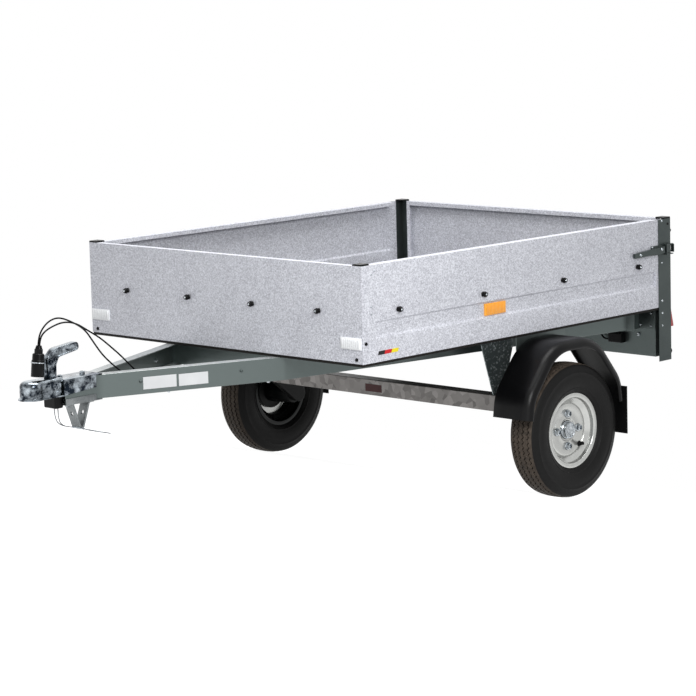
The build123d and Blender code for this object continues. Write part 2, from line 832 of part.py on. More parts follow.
def rim():
    """Rolled barrel with its bead seats and well, and the dished disc with its holes."""
    w = rim_half_width
    t = rim_sheet
    seat = rim_seat_radius
    front = ((w, rim_flange_radius), (w - t, rim_flange_radius), (w - t, seat), (seat_inner, seat - t / 2),
             (well_half, well_radius))
    back = [(-x, radius) for x, radius in reversed(front)]
    bore = [(x, radius - t) for x, radius in ((w, seat), (seat_inner, seat - t / 2), (well_half, well_radius))]
    bore_back = [(-x, radius) for x, radius in bore]
    barrel = turned((*front, *back, *bore_back, *reversed(bore)))
    ring = disc_back
    face = disc_back + disc_rise
    step = disc_back + disc_rise / 2
    p = disc_plate
    edge = well_radius - t / 2
    high = bolt_circle + bolt_land
    low = bolt_circle - bolt_land
    neck = low - disc_rise / 2
    disc = turned(((ring + p, edge), (ring, edge), (ring, high + disc_rise), (face, high), (face, low), (step, neck),
                   (step, centre_bore_radius), (step + p, centre_bore_radius), (step + p, neck - 1),
                   (face + p, low - 1), (face + p, high + 1), (ring + p, high + disc_rise + 1)))
    wheel = barrel + disc
    for quarter in range(4):
        wheel -= Rot(90 * quarter, 0, 0) * rod_x(bolt_hole_radius, bolt_circle, 0, ring, face + 2 * p)
    return wheel


def hub():
    """Turned hub behind the wheel disc, four bolt heads in front of it and the dust cap."""
    bore = stub_radius + hub_clearance
    back = axle_half_length + swing_arm_thickness + hub_gap - track_half
    face = disc_back + disc_rise
    relief = disc_back + disc_rise / 2 - pilot_clearance
    low = bolt_circle - bolt_land
    pilot = centre_bore_radius - pilot_clearance
    end = stub_past_centre + hub_gap
    cap = hub_cap_front
    body = turned(((back, bore), (back, hub_back_radius), (-hub_waist, hub_barrel_radius),
                   (disc_back, hub_barrel_radius), (disc_back, hub_flange_radius), (face, hub_flange_radius),
                   (face, low + hub_relief), (relief, low - pilot_clearance), (relief, pilot), (hub_cap_seat, pilot),
                   (hub_cap_seat + hub_gap, hub_cap_radius), (cap - hub_cap_round, hub_cap_radius),
                   (cap, hub_cap_radius - hub_cap_round), (cap, 0.0), (end, 0.0), (end, bore)))
    seat = face + disc_plate
    for quarter in range(4):
        turn = Rot(90 * quarter, 0, 0)
        body += turn * rod_x(bolt_hole_radius - bolt_clearance, bolt_circle, 0, disc_back + 1, seat + 1)
        body += turn * Pos(seat, bolt_circle, 0) * Rot(0, 90, 0) * extrude(RegularPolygon(nut_radius, 6), nut_height)
    return body


# Mudguards

def fender_face(shrink):
    """Rounded outline of the mudguard in the side view, shrunk by the given amount but open below."""
    foot = fender_bottom - (shrink + 1 if shrink else 0)
    half = ((fender_half_foot - shrink, foot), (fender_half_shoulder - shrink, tyre_radius + fender_shoulder),
            (fender_half_top - shrink / 2, fender_top - shrink))
    points = [(fender_y + reach, z) for reach, z in half]
    points += [(fender_y - reach, z) for reach, z in reversed(half)]
    face = make_face(Polyline(*points, close=True))
    corners = face.vertices().filter_by(lambda v: v.Y > foot + 1)
    return fillet(corners, fender_corner_radius - shrink)


def fender():
    """Moulded arch with a rolled outer lip; the wheel side and the underside stay open."""
    outer = side(fender_face(0), fender_inner, fender_outer)
    rim_edges = outer.faces().sort_by(Axis.X)[-1].edges().filter_by(lambda e: e.center().Z > fender_bottom + 1)
    outer = fillet(rim_edges, fender_crown_radius)
    cavity = side(fender_face(fender_sheet), fender_inner + fender_sheet, fender_outer - fender_sheet)
    low = fender_bottom - fender_sheet
    edges = cavity.faces().sort_by(Axis.X)[-1].edges().filter_by(lambda e: e.center().Z > low)
    cavity = fillet(edges, fender_crown_radius - fender_sheet)
    mouth = side(fender_face(fender_lip), fender_outer - fender_lip, fender_outer + 1)
    back = side(fender_face(fender_inner_lip), fender_inner - 1, fender_inner + 2 * fender_sheet)
    return outer - cavity - mouth - back


def mud_flap():
    y0 = fender_y + fender_half_foot + flap_gap
    top = fender_bottom + flap_overlap
    return block(fender_inner + flap_inset, fender_outer, y0, y0 + flap_thickness, top - flap_length, top)


def fender_carrier():
    """Plate that hangs from the floor board and holds the mudguard's inner edge."""
    half, height, t, flange = fender_plate
    plate = block(fender_inner - t, fender_inner, fender_y - half, fender_y + half, floor_bottom - height,
                  floor_bottom)
    return plate + block(fender_inner - flange, fender_inner, fender_y - half, fender_y + half, floor_bottom - t,
                         floor_bottom)


# Coupling

def coupling_head():
    """Cast head with a flared skirt and pressed side panels, socket for the ball, and the yoke on the arms."""
    core = rod_z(head_radius, 0, ball_y, head_bottom, head_top)
    core = fillet(core.edges().group_by(Axis.Z)[-1], head_crown)
    body = block(-head_half_width, head_half_width, ball_y, arm_end, head_bottom, head_top)
    body = fillet(body.edges().filter_by(Axis.Y).group_by(Axis.Z)[-1], head_crown - head_shell)
    skirt = rod_z(head_radius + skirt_reach, 0, ball_y, head_bottom, head_bottom + skirt_thickness)
    x = head_half_width + skirt_reach
    skirt += block(-x, x, ball_y, arm_end, head_bottom, head_bottom + skirt_thickness)
    length, height, depth = side_recess
    panel_y = arm_end - side_recess_back
    panel_z = (head_bottom + head_top) / 2
    recess = side(Pos(panel_y, panel_z) * SlotOverall(length, height), head_half_width - depth, head_half_width + 1)
    head = core + body
    for cut in both_sides(recess):
        head -= cut
    head += skirt
    inner = head_half_width - head_shell
    hollow_front = ball_y + ball_diameter / 2 + socket_wall
    hollow = block(-inner, inner, hollow_front, arm_end + 1, head_bottom - 1, head_top - head_shell)
    head -= fillet(hollow.edges().filter_by(Axis.Y).group_by(Axis.Z)[-1], head_shell)
    head += block(-inner, inner, arm_end - yoke_tongue, arm_end, arm_top, head_top - head_shell / 2)
    x0 = arm_path[0][0]
    x1 = x0 + yoke_sheet
    front = arm_end - yoke_lap
    head += block(-x1, x1, front, arm_end + yoke_length, arm_top, arm_top + yoke_sheet)
    rear = arm_end + yoke_cheek_length
    cheek = side_outline(((front, arm_top + yoke_sheet), (front, arm_top - yoke_cheek_front),
                          (rear, arm_top - yoke_cheek_rear), (rear, arm_top + yoke_sheet)), x0, x1)
    for wall in both_sides(cheek):
        head += wall
    radius = ball_diameter / 2 + ball_clearance
    head -= Pos(0, ball_y, ball_z) * Sphere(radius)
    head -= rod_z(radius, 0, ball_y, head_bottom - 1, ball_z)
    return head


def handle_face(inset):
    """Side view of the lever handle, with its rounded corners."""
    points = [(arm_end + y, arm_top + z) for y, z in handle_outline]
    face = make_face(Polyline(*points, close=True))
    for (y, z), radius in zip(points, handle_rounds):
        if radius:
            corner = face.vertices().sort_by_distance((y, z, 0))[0]
            face = fillet(corner, radius)
    return offset(face, amount=-inset) if inset else face


def coupling_handle():
    """Cast lever handle: neck, pivot rivet and grip, with a recess in each side inside a raised rim."""
    w = handle_half_width
    lever = side(handle_face(0), -w, w)
    recess = side(handle_face(handle_rim), w - handle_recess, w + 1)
    for cut in both_sides(recess):
        lever -= cut
    y, z = handle_pivot
    return lever + rod_x(handle_rivet, arm_end + y, arm_top + z, -w - 1, w + 1)


def leaning(shape):
    """Put a piece drawn on the plug's own axis in its place on the coupling."""
    return Pos(0, arm_end - plug_ahead, arm_top + plug_rise) * Rot(plug_lean, 0, 0) * shape


def plug():
    grip = plug_radius - plug_step
    shoulder = plug_height * plug_body_share
    outline = Polyline((0, 0), (plug_radius, 0), (plug_radius, shoulder), (grip, shoulder + plug_step),
                       (grip, plug_height - plug_crown), (grip - plug_crown, plug_height), (0, plug_height), close=True)
    return leaning(revolve(Plane.XZ * make_face(outline), Axis.Z))


def plug_gland():
    nut = Pos(0, 0, plug_height) * extrude(RegularPolygon(gland_radius + 1.5, 6), gland_nut)
    neck = Pos(0, 0, plug_height + gland_nut + gland_neck / 2) * Cone(gland_radius, 7.5, gland_neck)
    return leaning(nut + neck)


def plug_ring():
    """Wire ring round the plug, its end in the handle's neck."""
    r = plug_radius + ring_wire - ring_grip
    wire = Plane.XZ * Pos(r, ring_height) * RegularPolygon(ring_wire, 8)
    return leaning(revolve(wire, Axis.Z) + rod_y(ring_wire, 0, ring_height, r + ring_tail_start, r + ring_tail))


def breakaway_holder():
    w, length, h = holder_size
    y1 = arm_end - 1
    shape = block(-w / 2, w / 2, y1 - length, y1, head_bottom - h, head_bottom)
    return fillet(shape.edges().filter_by(Axis.X).group_by(Axis.Z)[0], holder_round)


# Cables

def cord_tube(points, radius):
    """Round tube on straight runs and tangent arcs, each arc as large as its two runs allow."""
    spots = [Vector(*point) for point in points]
    radii = []
    for before, here, after in zip(spots, spots[1:], spots[2:]):
        turn = radians((here - before).get_angle(after - here))
        run = min((here - before).length, (after - here).length)
        radii.append(0.45 * run / tan(turn / 2))
    path = FilletPolyline(*spots, radius=radii)
    print("tube length", round(path.length, 1), "least radius", round(min(radii), 1))
    return sweep(Plane(spots[0], z_dir=spots[1] - spots[0]) * Circle(radius), path=path)


def arm_clip():
    """Clip on the inner side of the left arm's web, where the two cables go into the arm."""
    length, width, height = cable_clip
    turn = arm_turn(1)
    x = arm_outer_x(cable_clip_y, 1) - (arm_sheet + width / 2) / cos(radians(turn))
    return Pos(x, cable_clip_y, cable_clip_z) * Rot(0, 0, -turn) * Box(width, length, height)


def ferrule():
    half_z, half_x = ferrule_half
    x, y = ferrule_place
    section = Plane.XZ * Ellipse(half_x, half_z)
    return Pos(x, y, half_z) * Rot(0, 0, ferrule_turn - 90) * Pos(0, ferrule_length / 2, 0) * extrude(section, ferrule_length)


def parked_angle():
    """Nose-down angle at which the foot's bend touches the ground."""
    radius = foot_bend_radius + foot_strip / 2
    run = wheel_y - foot_y
    rise = foot_bend_z - tyre_radius
    return degrees(atan2(rise, run) - asin((radius - tyre_radius) / hypot(run, rise)))


root = {
    "drawbar_arm_left": [drawbar_arm()],
    "drawbar_arm_right": [other_side(drawbar_arm())],
    "drawbar_base_plate": [base_channel()],
    "chassis_cross_members": [cross_member(y) for y in cross_member_y],
    "rear_gussets": both_sides(rear_gusset()),
    "parking_foot": [parking_foot()],
    "coupling_head": [coupling_head()],
    "coupling_handle": [coupling_handle()],
    "breakaway_holder": [breakaway_holder()],
    "plug_ring": [plug_ring()],
    "floor_panel": [floor_panel()],
    "front_wall": [front_wall()],
    "side_wall_left": [side_wall()],
    "side_wall_right": [other_side(side_wall())],
    "front_posts": both_sides(front_post()),
    "rear_post_left": [rear_post()],
    "rear_post_right": [other_side(rear_post())],
    "post_caps": both_sides(post_cap(half_width, 0.0, cap_size))
    + both_sides(post_cap(half_width, rear_face - cap_size, rear_face)),
    "rear_light_panel": [light_panel()],
    "frame_hinges": [frame_hinge(x) for x in hinge_positions],
    "tail_lamp_housings": both_sides(lamp_housing()),
    "tail_lamp_lenses": both_sides(lamp_lens()),
    "lamp_connectors": both_sides(connector()),
    "rear_buffers": both_sides(buffer()),
    "tarp_buttons": tarp_buttons(),
    "front_reflectors": both_sides(front_reflector_left()),
    "side_reflectors": both_sides(side_reflector_left()),
    "latches": both_sides(latch()),
    "axle_beam": [axle_beam()],
    "axle_brackets": both_sides(axle_bracket()),
    "swing_arm_left": [swing_arm()],
    "swing_arm_right": [other_side(swing_arm())],
    "fender_left": [fender()],
    "fender_right": [other_side(fender())],
    "fender_brackets": both_sides(fender_carrier()),
    "mud_flaps": both_sides(mud_flap()),
    "cable_clip": [arm_clip()],
    "cable_plug": [plug()],
    "cable_plug_gland": [plug_gland()],
    "cable_upper": [cord_tube(upper_cable, cable_radius)],
    "cable_lower": [cord_tube(lower_cable, cable_radius)],
}
wheel_place = Pos(track_half, wheel_y, tyre_radius)
wheels = {}
for label, flip in (("left", lambda shape: shape), ("right", other_side)):
    wheels["tyre_" + label] = [flip(wheel_place * tyre())]
    wheels["rim_" + label] = [flip(wheel_place * rim())]
    wheels["hub_" + label] = [flip(wheel_place * hub())]
gate = {
    "tailgate": [tailgate()],
    "gate_hinges": [gate_hinge(x) for x in hinge_positions],
    "gate_buttons": gate_buttons(),
    "latch_loops": both_sides(latch_loop()),
}
nodes = {**root, **wheels, **gate}
on_ground = {
    "breakaway_rope": [cord_tube(rope_points, rope_radius)],
    "breakaway_ferrule": [ferrule()],
}

# Lower the nose onto the foot, then put the origin at the bottom centre
nose_down = parked_angle()
lowered = Pos(0, 0, tyre_radius) * Rot(nose_down, 0, 0) * Pos(0, -wheel_y, -tyre_radius)
on_cord = ("cable_plug", "cable_plug_gland", "cable_upper", "cable_lower")
standing = Compound(children=[lowered * shape for name, shapes in nodes.items()
                              if name not in on_cord for shape in shapes]).bounding_box()
park = Pos(0, -(standing.min.Y + standing.max.Y) / 2, 0) * lowered


def parked_point(x, y, z):
    """A point of the level frame in the standing trailer's frame."""
    return (park * Pos(x, y, z)).position


print("nose down", round(nose_down, 3), "lowest", round(standing.min.Z, 3))
print("hinge line", parked_point(0, hinge_y, hinge_z))
print("axle line", parked_point(0, wheel_y, tyre_radius))

os.makedirs("parts", exist_ok=True)
placed_nodes = {name: [park * shape for shape in shapes] for name, shapes in nodes.items()}
for name, placed in {**placed_nodes, **on_ground}.items():
    export_step(placed[0] if len(placed) == 1 else Compound(children=placed), f"parts/{name}.step")
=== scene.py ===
"""Box utility trailer in galvanised sheet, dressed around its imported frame.

Pieces are laid out in the level towing frame, in millimetres: X to the trailer's left, Y rearward from
the front wall, Z up from level ground. The trailer stands nose-down on its foot, so every finished
mesh is put through the parking move, which is worked out from two joints of the frame.
"""
import json
from math import atan2, cos, pi, radians, sin, tan

import bmesh
import bpy
from mathutils import Matrix, Vector

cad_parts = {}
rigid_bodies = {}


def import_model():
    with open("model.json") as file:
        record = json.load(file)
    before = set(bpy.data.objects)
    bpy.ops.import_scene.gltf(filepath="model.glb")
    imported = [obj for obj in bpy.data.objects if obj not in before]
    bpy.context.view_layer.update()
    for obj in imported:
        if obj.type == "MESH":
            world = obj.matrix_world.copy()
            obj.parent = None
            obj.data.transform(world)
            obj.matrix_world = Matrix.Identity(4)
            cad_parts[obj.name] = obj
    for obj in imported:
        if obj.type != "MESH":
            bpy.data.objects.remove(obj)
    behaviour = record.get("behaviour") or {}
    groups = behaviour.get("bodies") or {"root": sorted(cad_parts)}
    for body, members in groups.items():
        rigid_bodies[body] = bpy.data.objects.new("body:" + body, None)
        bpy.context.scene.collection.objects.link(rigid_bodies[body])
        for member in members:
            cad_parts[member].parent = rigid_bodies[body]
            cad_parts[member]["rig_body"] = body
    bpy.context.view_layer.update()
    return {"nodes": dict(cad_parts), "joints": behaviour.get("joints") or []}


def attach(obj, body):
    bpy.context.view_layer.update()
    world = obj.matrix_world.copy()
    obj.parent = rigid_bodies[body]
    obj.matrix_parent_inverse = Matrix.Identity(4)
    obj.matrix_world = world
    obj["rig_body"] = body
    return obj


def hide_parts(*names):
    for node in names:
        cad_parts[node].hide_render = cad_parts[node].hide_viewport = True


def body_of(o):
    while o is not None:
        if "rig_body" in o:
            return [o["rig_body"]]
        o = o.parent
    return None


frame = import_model()
nodes = frame["nodes"]
joints = {joint["name"]: joint for joint in frame["joints"]}
mm = 0.001

# Places in the level frame, millimetres
half_width = 577.0
bed_height = 511.0
wheel_place = (626.0, 826.0, 206.5)
hinge_place = (0.0, 1447.0, 508.0)
rear_face = 1433.0
panel_face = 1384.0
arm_knee_front = (33.0, -512.0)
arm_knee_rear = (248.0, 15.0)
arm_bottom = 435.0
yoke_top = 507.0
button_height = bed_height + 142.0
gate_button_height = bed_height + 239.0
button_length = 16.0
guard_inner = 552.0
guard_middle = 814.0
guard_rear = 1049.0

# Directions in the level frame
left = (1.0, 0.0, 0.0)
front = (0.0, -1.0, 0.0)
rear = (0.0, 1.0, 0.0)
up = (0.0, 0.0, 1.0)
down = (0.0, 0.0, -1.0)
arm_way = (Vector(arm_knee_rear) - Vector(arm_knee_front)).normalized()
arm_out = (arm_way.y, -arm_way.x, 0.0)
arm_in = (-arm_out[0], -arm_out[1], 0.0)

# Photograph's camera, in the level frame, metres
photo_width = 696
camera_place = Vector((5.9616, -5.6814, 1.7666))
camera_azimuth = radians(43.863)
camera_elevation = radians(8.792)
camera_roll = radians(-1.576)
focal_pixels = 2805.9
centre_pixel = (343.66, 349.86)
sensor_mm = 36.0


def parking_move():
    """Level frame to standing frame: a turn about the axle line, then its shift along Y."""
    axle = Vector(joints["wheel_left_spin"]["pos_m"])
    hinge = Vector(joints["tailgate_hinge"]["pos_m"])
    axle_level = Vector((0.0, wheel_place[1], wheel_place[2])) * mm
    level = Vector(hinge_place) * mm - axle_level
    standing = hinge - axle
    turn = atan2(standing.z, standing.y) - atan2(level.z, level.y)
    axle.x = 0.0
    return Matrix.Translation(axle) @ Matrix.Rotation(turn, 4, "X") @ Matrix.Translation(-axle_level)


park = parking_move()


# Camera

def photo_camera():
    """Camera fitted to the photograph, with its roll and its shifted centre."""
    back = Vector((sin(camera_azimuth) * cos(camera_elevation), -cos(camera_azimuth) * cos(camera_elevation),
                   sin(camera_elevation)))
    right = Vector((cos(camera_azimuth), sin(camera_azimuth), 0.0))
    above = back.cross(right)
    tilted_right = cos(camera_roll) * right + sin(camera_roll) * above
    tilted_up = cos(camera_roll) * above - sin(camera_roll) * right
    turn = Matrix((tilted_right, tilted_up, back)).transposed().to_4x4()
    camera = bpy.data.cameras.new("photo_camera")
    camera.sensor_width = sensor_mm
    camera.lens = focal_pixels / photo_width * sensor_mm
    camera.shift_x = (photo_width / 2 - centre_pixel[0]) / photo_width
    camera.shift_y = (centre_pixel[1] - photo_width / 2) / photo_width
    camera.clip_end = 100.0
    camera_object = bpy.data.objects.new("photo_camera", camera)
    camera_object.matrix_world = park @ Matrix.Translation(camera_place) @ turn
    bpy.context.scene.collection.objects.link(camera_object)
    bpy.context.scene.camera = camera_object


photo_camera()


# Materials

def colour(code):
    """sRGB hex to a linear colour with alpha 1."""
    channels = []
    for start in (0, 2, 4):
        value = int(code[start:start + 2], 16) / 255
        channels.append(value / 12.92 if value <= 0.04045 else ((value + 0.055) / 1.055) ** 2.4)
    return (*channels, 1.0)


def blank_material(name):
    """Node material with nothing in it yet."""
    material = bpy.data.materials.new(name)
    material.use_nodes = True
    material.node_tree.nodes.clear()
    return material


def add_node(owner, kind, settings=None, inputs=None):
    """Add one node. An input given as a socket is linked, any other value is set."""
    tree = owner.node_tree
    node = tree.nodes.new(kind)
    for name, value in (settings or {}).items():
        setattr(node, name, value)
    for name, value in (inputs or {}).items():
        if isinstance(value, bpy.types.NodeSocket):
            tree.links.new(value, node.inputs[name])
        else:
            node.inputs[name].default_value = value
    return node


def two_colours(material, amount, dark, light, blend=(0.25, 0.75)):
    """Colour that goes from dark to light while the amount goes through the blend's two ends."""
    share = add_node(material, "ShaderNodeMapRange", None,
                     {"Value": amount, "From Min": blend[0], "From Max": blend[1]})
    mixed = add_node(material, "ShaderNodeMix", {"data_type": "RGBA"},
                     {0: share.outputs[0], 6: colour(dark), 7: colour(light)})
    return mixed.outputs[2]


def zinc_coat(name, dark, light, grain, cloud, grain_share, metallic, roughness, wave, blend=(0.25, 0.75),
              top_highlight=0.0):
    """Zinc on steel: crystal grains and broad clouds of grey, duller and brighter from grain to grain.

    Grain and cloud are their widths in millimetres. The last argument sets a painted highlight that pales the
    faces that look up, as light from above brightens them.
    """
    material = blank_material(name)
    source = add_node(material, "ShaderNodeTexCoord")
    where = source.outputs["Object"]
    upward = add_node(material, "ShaderNodeSeparateXYZ", None, {"Vector": source.outputs["Normal"]})
    # painted highlight: faces that look up are paled, standing in for light from above
    painted_top_light = add_node(material, "ShaderNodeMapRange", None,
                       {"Value": upward.outputs["Z"], "From Min": 0.4, "From Max": 0.9, "To Max": top_highlight})
    grains = add_node(material, "ShaderNodeTexVoronoi", {"feature": "F1"},
                      {"Vector": where, "Scale": 1 / (grain * mm), "Randomness": 1.0})
    grey = add_node(material, "ShaderNodeRGBToBW", None, {"Color": grains.outputs["Color"]}).outputs[0]
    clouds = add_node(material, "ShaderNodeTexNoise", None,
                      {"Vector": where, "Scale": 1 / (cloud * mm), "Detail": 4.0, "Roughness": 0.6})
    both = add_node(material, "ShaderNodeMix", {"data_type": "FLOAT"},
                    {0: grain_share, 2: clouds.outputs["Fac"], 3: grey})
    amount = add_node(material, "ShaderNodeMath", {"operation": "ADD"},
                      {0: both.outputs[0], 1: painted_top_light.outputs[0]})
    dulling = add_node(material, "ShaderNodeMapRange", None,
                       {"Value": grey, "To Min": roughness[0], "To Max": roughness[1]})
    bump = add_node(material, "ShaderNodeBump", None,
                    {"Height": clouds.outputs["Fac"], "Strength": wave, "Distance": 2.0 * mm})
    surface = add_node(material, "ShaderNodeBsdfPrincipled", None,
                       {"Base Color": two_colours(material, amount.outputs[0], dark, light, blend),
                        "Metallic": metallic, "Roughness": dulling.outputs[0], "Normal": bump.outputs[0]})
    add_node(material, "ShaderNodeOutputMaterial", None, {"Surface": surface.outputs[0]})
    return material


def moulded(name, dark, light, grain, depth, roughness, shine, cloud=60.0):
    """Moulded plastic, rubber or film: even colour with a faint bloom, fine grain from the mould's wall.

    Grain, depth and cloud are in millimetres. Real grain is a few tenths wide and too fine to show, so
    it is drawn one to three millimetres wide.
    """
    material = blank_material(name)
    where = add_node(material, "ShaderNodeTexCoord").outputs["Object"]
    pores = add_node(material, "ShaderNodeTexNoise", None,
                     {"Vector": where, "Scale": 1 / (grain * mm), "Detail": 2.0})
    bloom = add_node(material, "ShaderNodeTexNoise", None,
                     {"Vector": where, "Scale": 1 / (cloud * mm), "Detail": 3.0})
    bump = add_node(material, "ShaderNodeBump", None,
                    {"Height": pores.outputs["Fac"], "Strength": 0.4, "Distance": depth * mm})
    gloss = add_node(material, "ShaderNodeMapRange", None,
                     {"Value": bloom.outputs["Fac"], "To Min": roughness - 0.06, "To Max": roughness + 0.08})
    surface = add_node(material, "ShaderNodeBsdfPrincipled", None,
                       {"Base Color": two_colours(material, bloom.outputs["Fac"], dark, light),
                        "Roughness": gloss.outputs[0], "Specular IOR Level": shine,
                        "Normal": bump.outputs[0]})
    add_node(material, "ShaderNodeOutputMaterial", None, {"Surface": surface.outputs[0]})
    return material


def clear_moulded(name, code):
    """Injection-moulded acrylic: deep even colour under a glass-smooth face."""
    material = blank_material(name)
    where = add_node(material, "ShaderNodeTexCoord").outputs["Object"]
    flow = add_node(material, "ShaderNodeTexNoise", None, {"Vector": where, "Scale": 1 / (12.0 * mm)})
    gloss = add_node(material, "ShaderNodeMapRange", None,
                     {"Value": flow.outputs["Fac"], "To Min": 0.06, "To Max": 0.16})
    surface = add_node(material, "ShaderNodeBsdfPrincipled", None,
                       {"Base Color": colour(code), "Roughness": gloss.outputs[0], "Coat Weight": 0.6,
                        "Coat Roughness": 0.04})
    add_node(material, "ShaderNodeOutputMaterial", None, {"Surface": surface.outputs[0]})
    return material


def distance_from_middle(material):
    """How far a point lies from the trailer's middle plane, alike on both sides."""
    where = add_node(material, "ShaderNodeTexCoord").outputs["Object"]
    parts = add_node(material, "ShaderNodeSeparateXYZ", None, {"Vector": where})
    return add_node(material, "ShaderNodeMath", {"operation": "ABSOLUTE"}, {0: parts.outputs["X"]}).outputs[0]


def lamp_lens_plastic(split):
    """Two-colour acrylic lens: red outside the split, amber inside it, at one X on each side."""
    material = blank_material("acrylic_tail_lens")
    outer = add_node(material, "ShaderNodeMath", {"operation": "GREATER_THAN"},
                     {0: distance_from_middle(material), 1: split * mm})
    shade = two_colours(material, outer.outputs[0], "e08410", "a50f17", (0.4, 0.6))
    surface = add_node(material, "ShaderNodeBsdfPrincipled", None,
                       {"Base Color": shade, "Roughness": 0.12, "Coat Weight": 0.6,
                        "Coat Roughness": 0.04})
    add_node(material, "ShaderNodeOutputMaterial", None, {"Surface": surface.outputs[0]})
    return material


def film_faced_board():
    """Birch plywood sealed in a dark brown film, with a fine mesh print pressed into it."""
    material = blank_material("film_faced_plywood")
    where = add_node(material, "ShaderNodeTexCoord").outputs["Object"]
    grain = add_node(material, "ShaderNodeTexNoise", None,
                     {"Vector": where, "Scale": 1 / (35.0 * mm), "Detail": 6.0, "Roughness": 0.65})
    print_cells = add_node(material, "ShaderNodeTexVoronoi", {"feature": "DISTANCE_TO_EDGE"},
                           {"Vector": where, "Scale": 1 / (4.0 * mm), "Randomness": 0.0})
    bump = add_node(material, "ShaderNodeBump", None,
                    {"Height": print_cells.outputs["Distance"], "Strength": 0.5, "Distance": 0.4 * mm})
    surface = add_node(material, "ShaderNodeBsdfPrincipled", None,
                       {"Base Color": two_colours(material, grain.outputs["Fac"], "0c0b0a", "161311"),
                        "Roughness": 0.5, "Specular IOR Level": 0.12, "Normal": bump.outputs[0]})
    add_node(material, "ShaderNodeOutputMaterial", None, {"Surface": surface.outputs[0]})
    return material


def paint_shade_inside(material, reach, code):
    """Painted shade: a dark colour on all of a wheel that lies nearer the trailer's middle than the reach."""
    surface = material.node_tree.nodes["Principled BSDF"]
    paint = surface.inputs["Base Color"].links[0].from_socket
    share = add_node(material, "ShaderNodeMapRange", None,
                     {"Value": distance_from_middle(material), "From Min": (reach - 3.0) * mm,
                      "From Max": reach * mm})
    both = add_node(material, "ShaderNodeMix", {"data_type": "RGBA"},
                    {0: share.outputs[0], 6: colour(code), 7: paint})
    material.node_tree.links.new(both.outputs[2], surface.inputs["Base Color"])


def tyre_compound(groove_radius, tread_radius):
    """Vulcanised tyre rubber: near-black walls and grooves, dusty brown-grey on the tread's running faces.

    Its pores are drawn 1.6 mm wide, because real ones are too fine to show.
    """
    material = blank_material("vulcanised_tyre_rubber")
    where = add_node(material, "ShaderNodeTexCoord").outputs["Object"]
    axle = park @ (Vector((0.0, *wheel_place[1:])) * mm)
    flat = add_node(material, "ShaderNodeVectorMath", {"operation": "MULTIPLY"},
                    {0: where, 1: (0.0, 1.0, 1.0)})
    away = add_node(material, "ShaderNodeVectorMath", {"operation": "DISTANCE"},
                    {0: flat.outputs[0], 1: tuple(axle)})
    worn = add_node(material, "ShaderNodeMapRange", None,
                    {"Value": away.outputs["Value"], "From Min": groove_radius * mm,
                     "From Max": tread_radius * mm})
    dust = add_node(material, "ShaderNodeTexNoise", None,
                    {"Vector": where, "Scale": 1 / (14.0 * mm), "Detail": 4.0})
    patchy = add_node(material, "ShaderNodeMath", {"operation": "MULTIPLY"},
                      {0: worn.outputs[0], 1: dust.outputs["Fac"]})
    pores = add_node(material, "ShaderNodeTexNoise", None, {"Vector": where, "Scale": 1 / (1.6 * mm)})
    bump = add_node(material, "ShaderNodeBump", None,
                    {"Height": pores.outputs["Fac"], "Strength": 0.4, "Distance": 0.12 * mm})
    gloss = add_node(material, "ShaderNodeMapRange", None,
                     {"Value": dust.outputs["Fac"], "To Min": 0.5, "To Max": 0.66})
    shade = two_colours(material, patchy.outputs[0], "0a0a0a", "6a5f55", (0.0, 1.0))
    surface = add_node(material, "ShaderNodeBsdfPrincipled", None,
                       {"Base Color": shade, "Roughness": gloss.outputs[0], "Specular IOR Level": 0.16,
                        "Normal": bump.outputs[0]})
    add_node(material, "ShaderNodeOutputMaterial", None, {"Surface": surface.outputs[0]})
    return material


# Strip-galvanised wall sheet: pale grey with a lilac tint, dulled by its oxide, and a fine speckle of
# crystals, drawn 3 mm wide because narrower ones don't show
wall_zinc = zinc_coat("strip_galvanised_sheet", "999aa3", "dfe1e8", grain=3.0, cloud=120.0, grain_share=0.8,
                      metallic=0.15, roughness=(0.4, 0.6), wave=0.03, blend=(0.1, 0.9))
# Thin galvanised corner posts: the same zinc, almost without crystals
post_zinc = zinc_coat("strip_galvanised_post", "b9bcc2", "cdd0d5", grain=3.0, cloud=90.0, grain_share=0.3,
                      metallic=0.15, roughness=(0.4, 0.5), wave=0.03)
# Roll-formed drawbar and frame sections: green-grey, a soft cloudy mirror, paler on top from a painted
# highlight
section_zinc = zinc_coat("hot_dip_section", "5b6362", "c6cac9", grain=5.0, cloud=160.0, grain_share=0.1,
                         metallic=0.85, roughness=(0.3, 0.4), wave=0.05, blend=(0.72, 1.0), top_highlight=0.6)
# Foot and its plate: the same dip on flat bar, paler
foot_zinc = zinc_coat("hot_dip_flat_bar", "64686a", "878b8c", grain=4.0, cloud=60.0, grain_share=0.25,
                      metallic=0.8, roughness=(0.3, 0.42), wave=0.08)
# Axle tube: warmer grey, spangle in large pale and dark flowers
axle_zinc = zinc_coat("hot_dip_axle_tube", "5c5a58", "8b8886", grain=22.0, cloud=90.0, grain_share=0.6,
                      metallic=0.8, roughness=(0.34, 0.46), wave=0.05)
# Rear posts, hinges and latches: dark neutral grey zinc
rear_zinc = zinc_coat("hot_dip_rear_section", "3c4343", "4c5352", grain=5.0, cloud=130.0, grain_share=0.12,
                      metallic=0.85, roughness=(0.32, 0.42), wave=0.05)
# Axle brackets: dark grey zinc with scattered bright crystals
bracket_zinc = zinc_coat("hot_dip_bracket", "566061", "cbd4d5", grain=5.0, cloud=60.0, grain_share=0.8,
                         metallic=0.8, roughness=(0.3, 0.44), wave=0.06, blend=(0.62, 0.95))
# Trailing arms and hub backs: black paint over cast steel
arm_paint = moulded("black_chassis_paint", "080909", "0f1010", grain=3.0, depth=0.1, roughness=0.45,
                    shine=0.15)
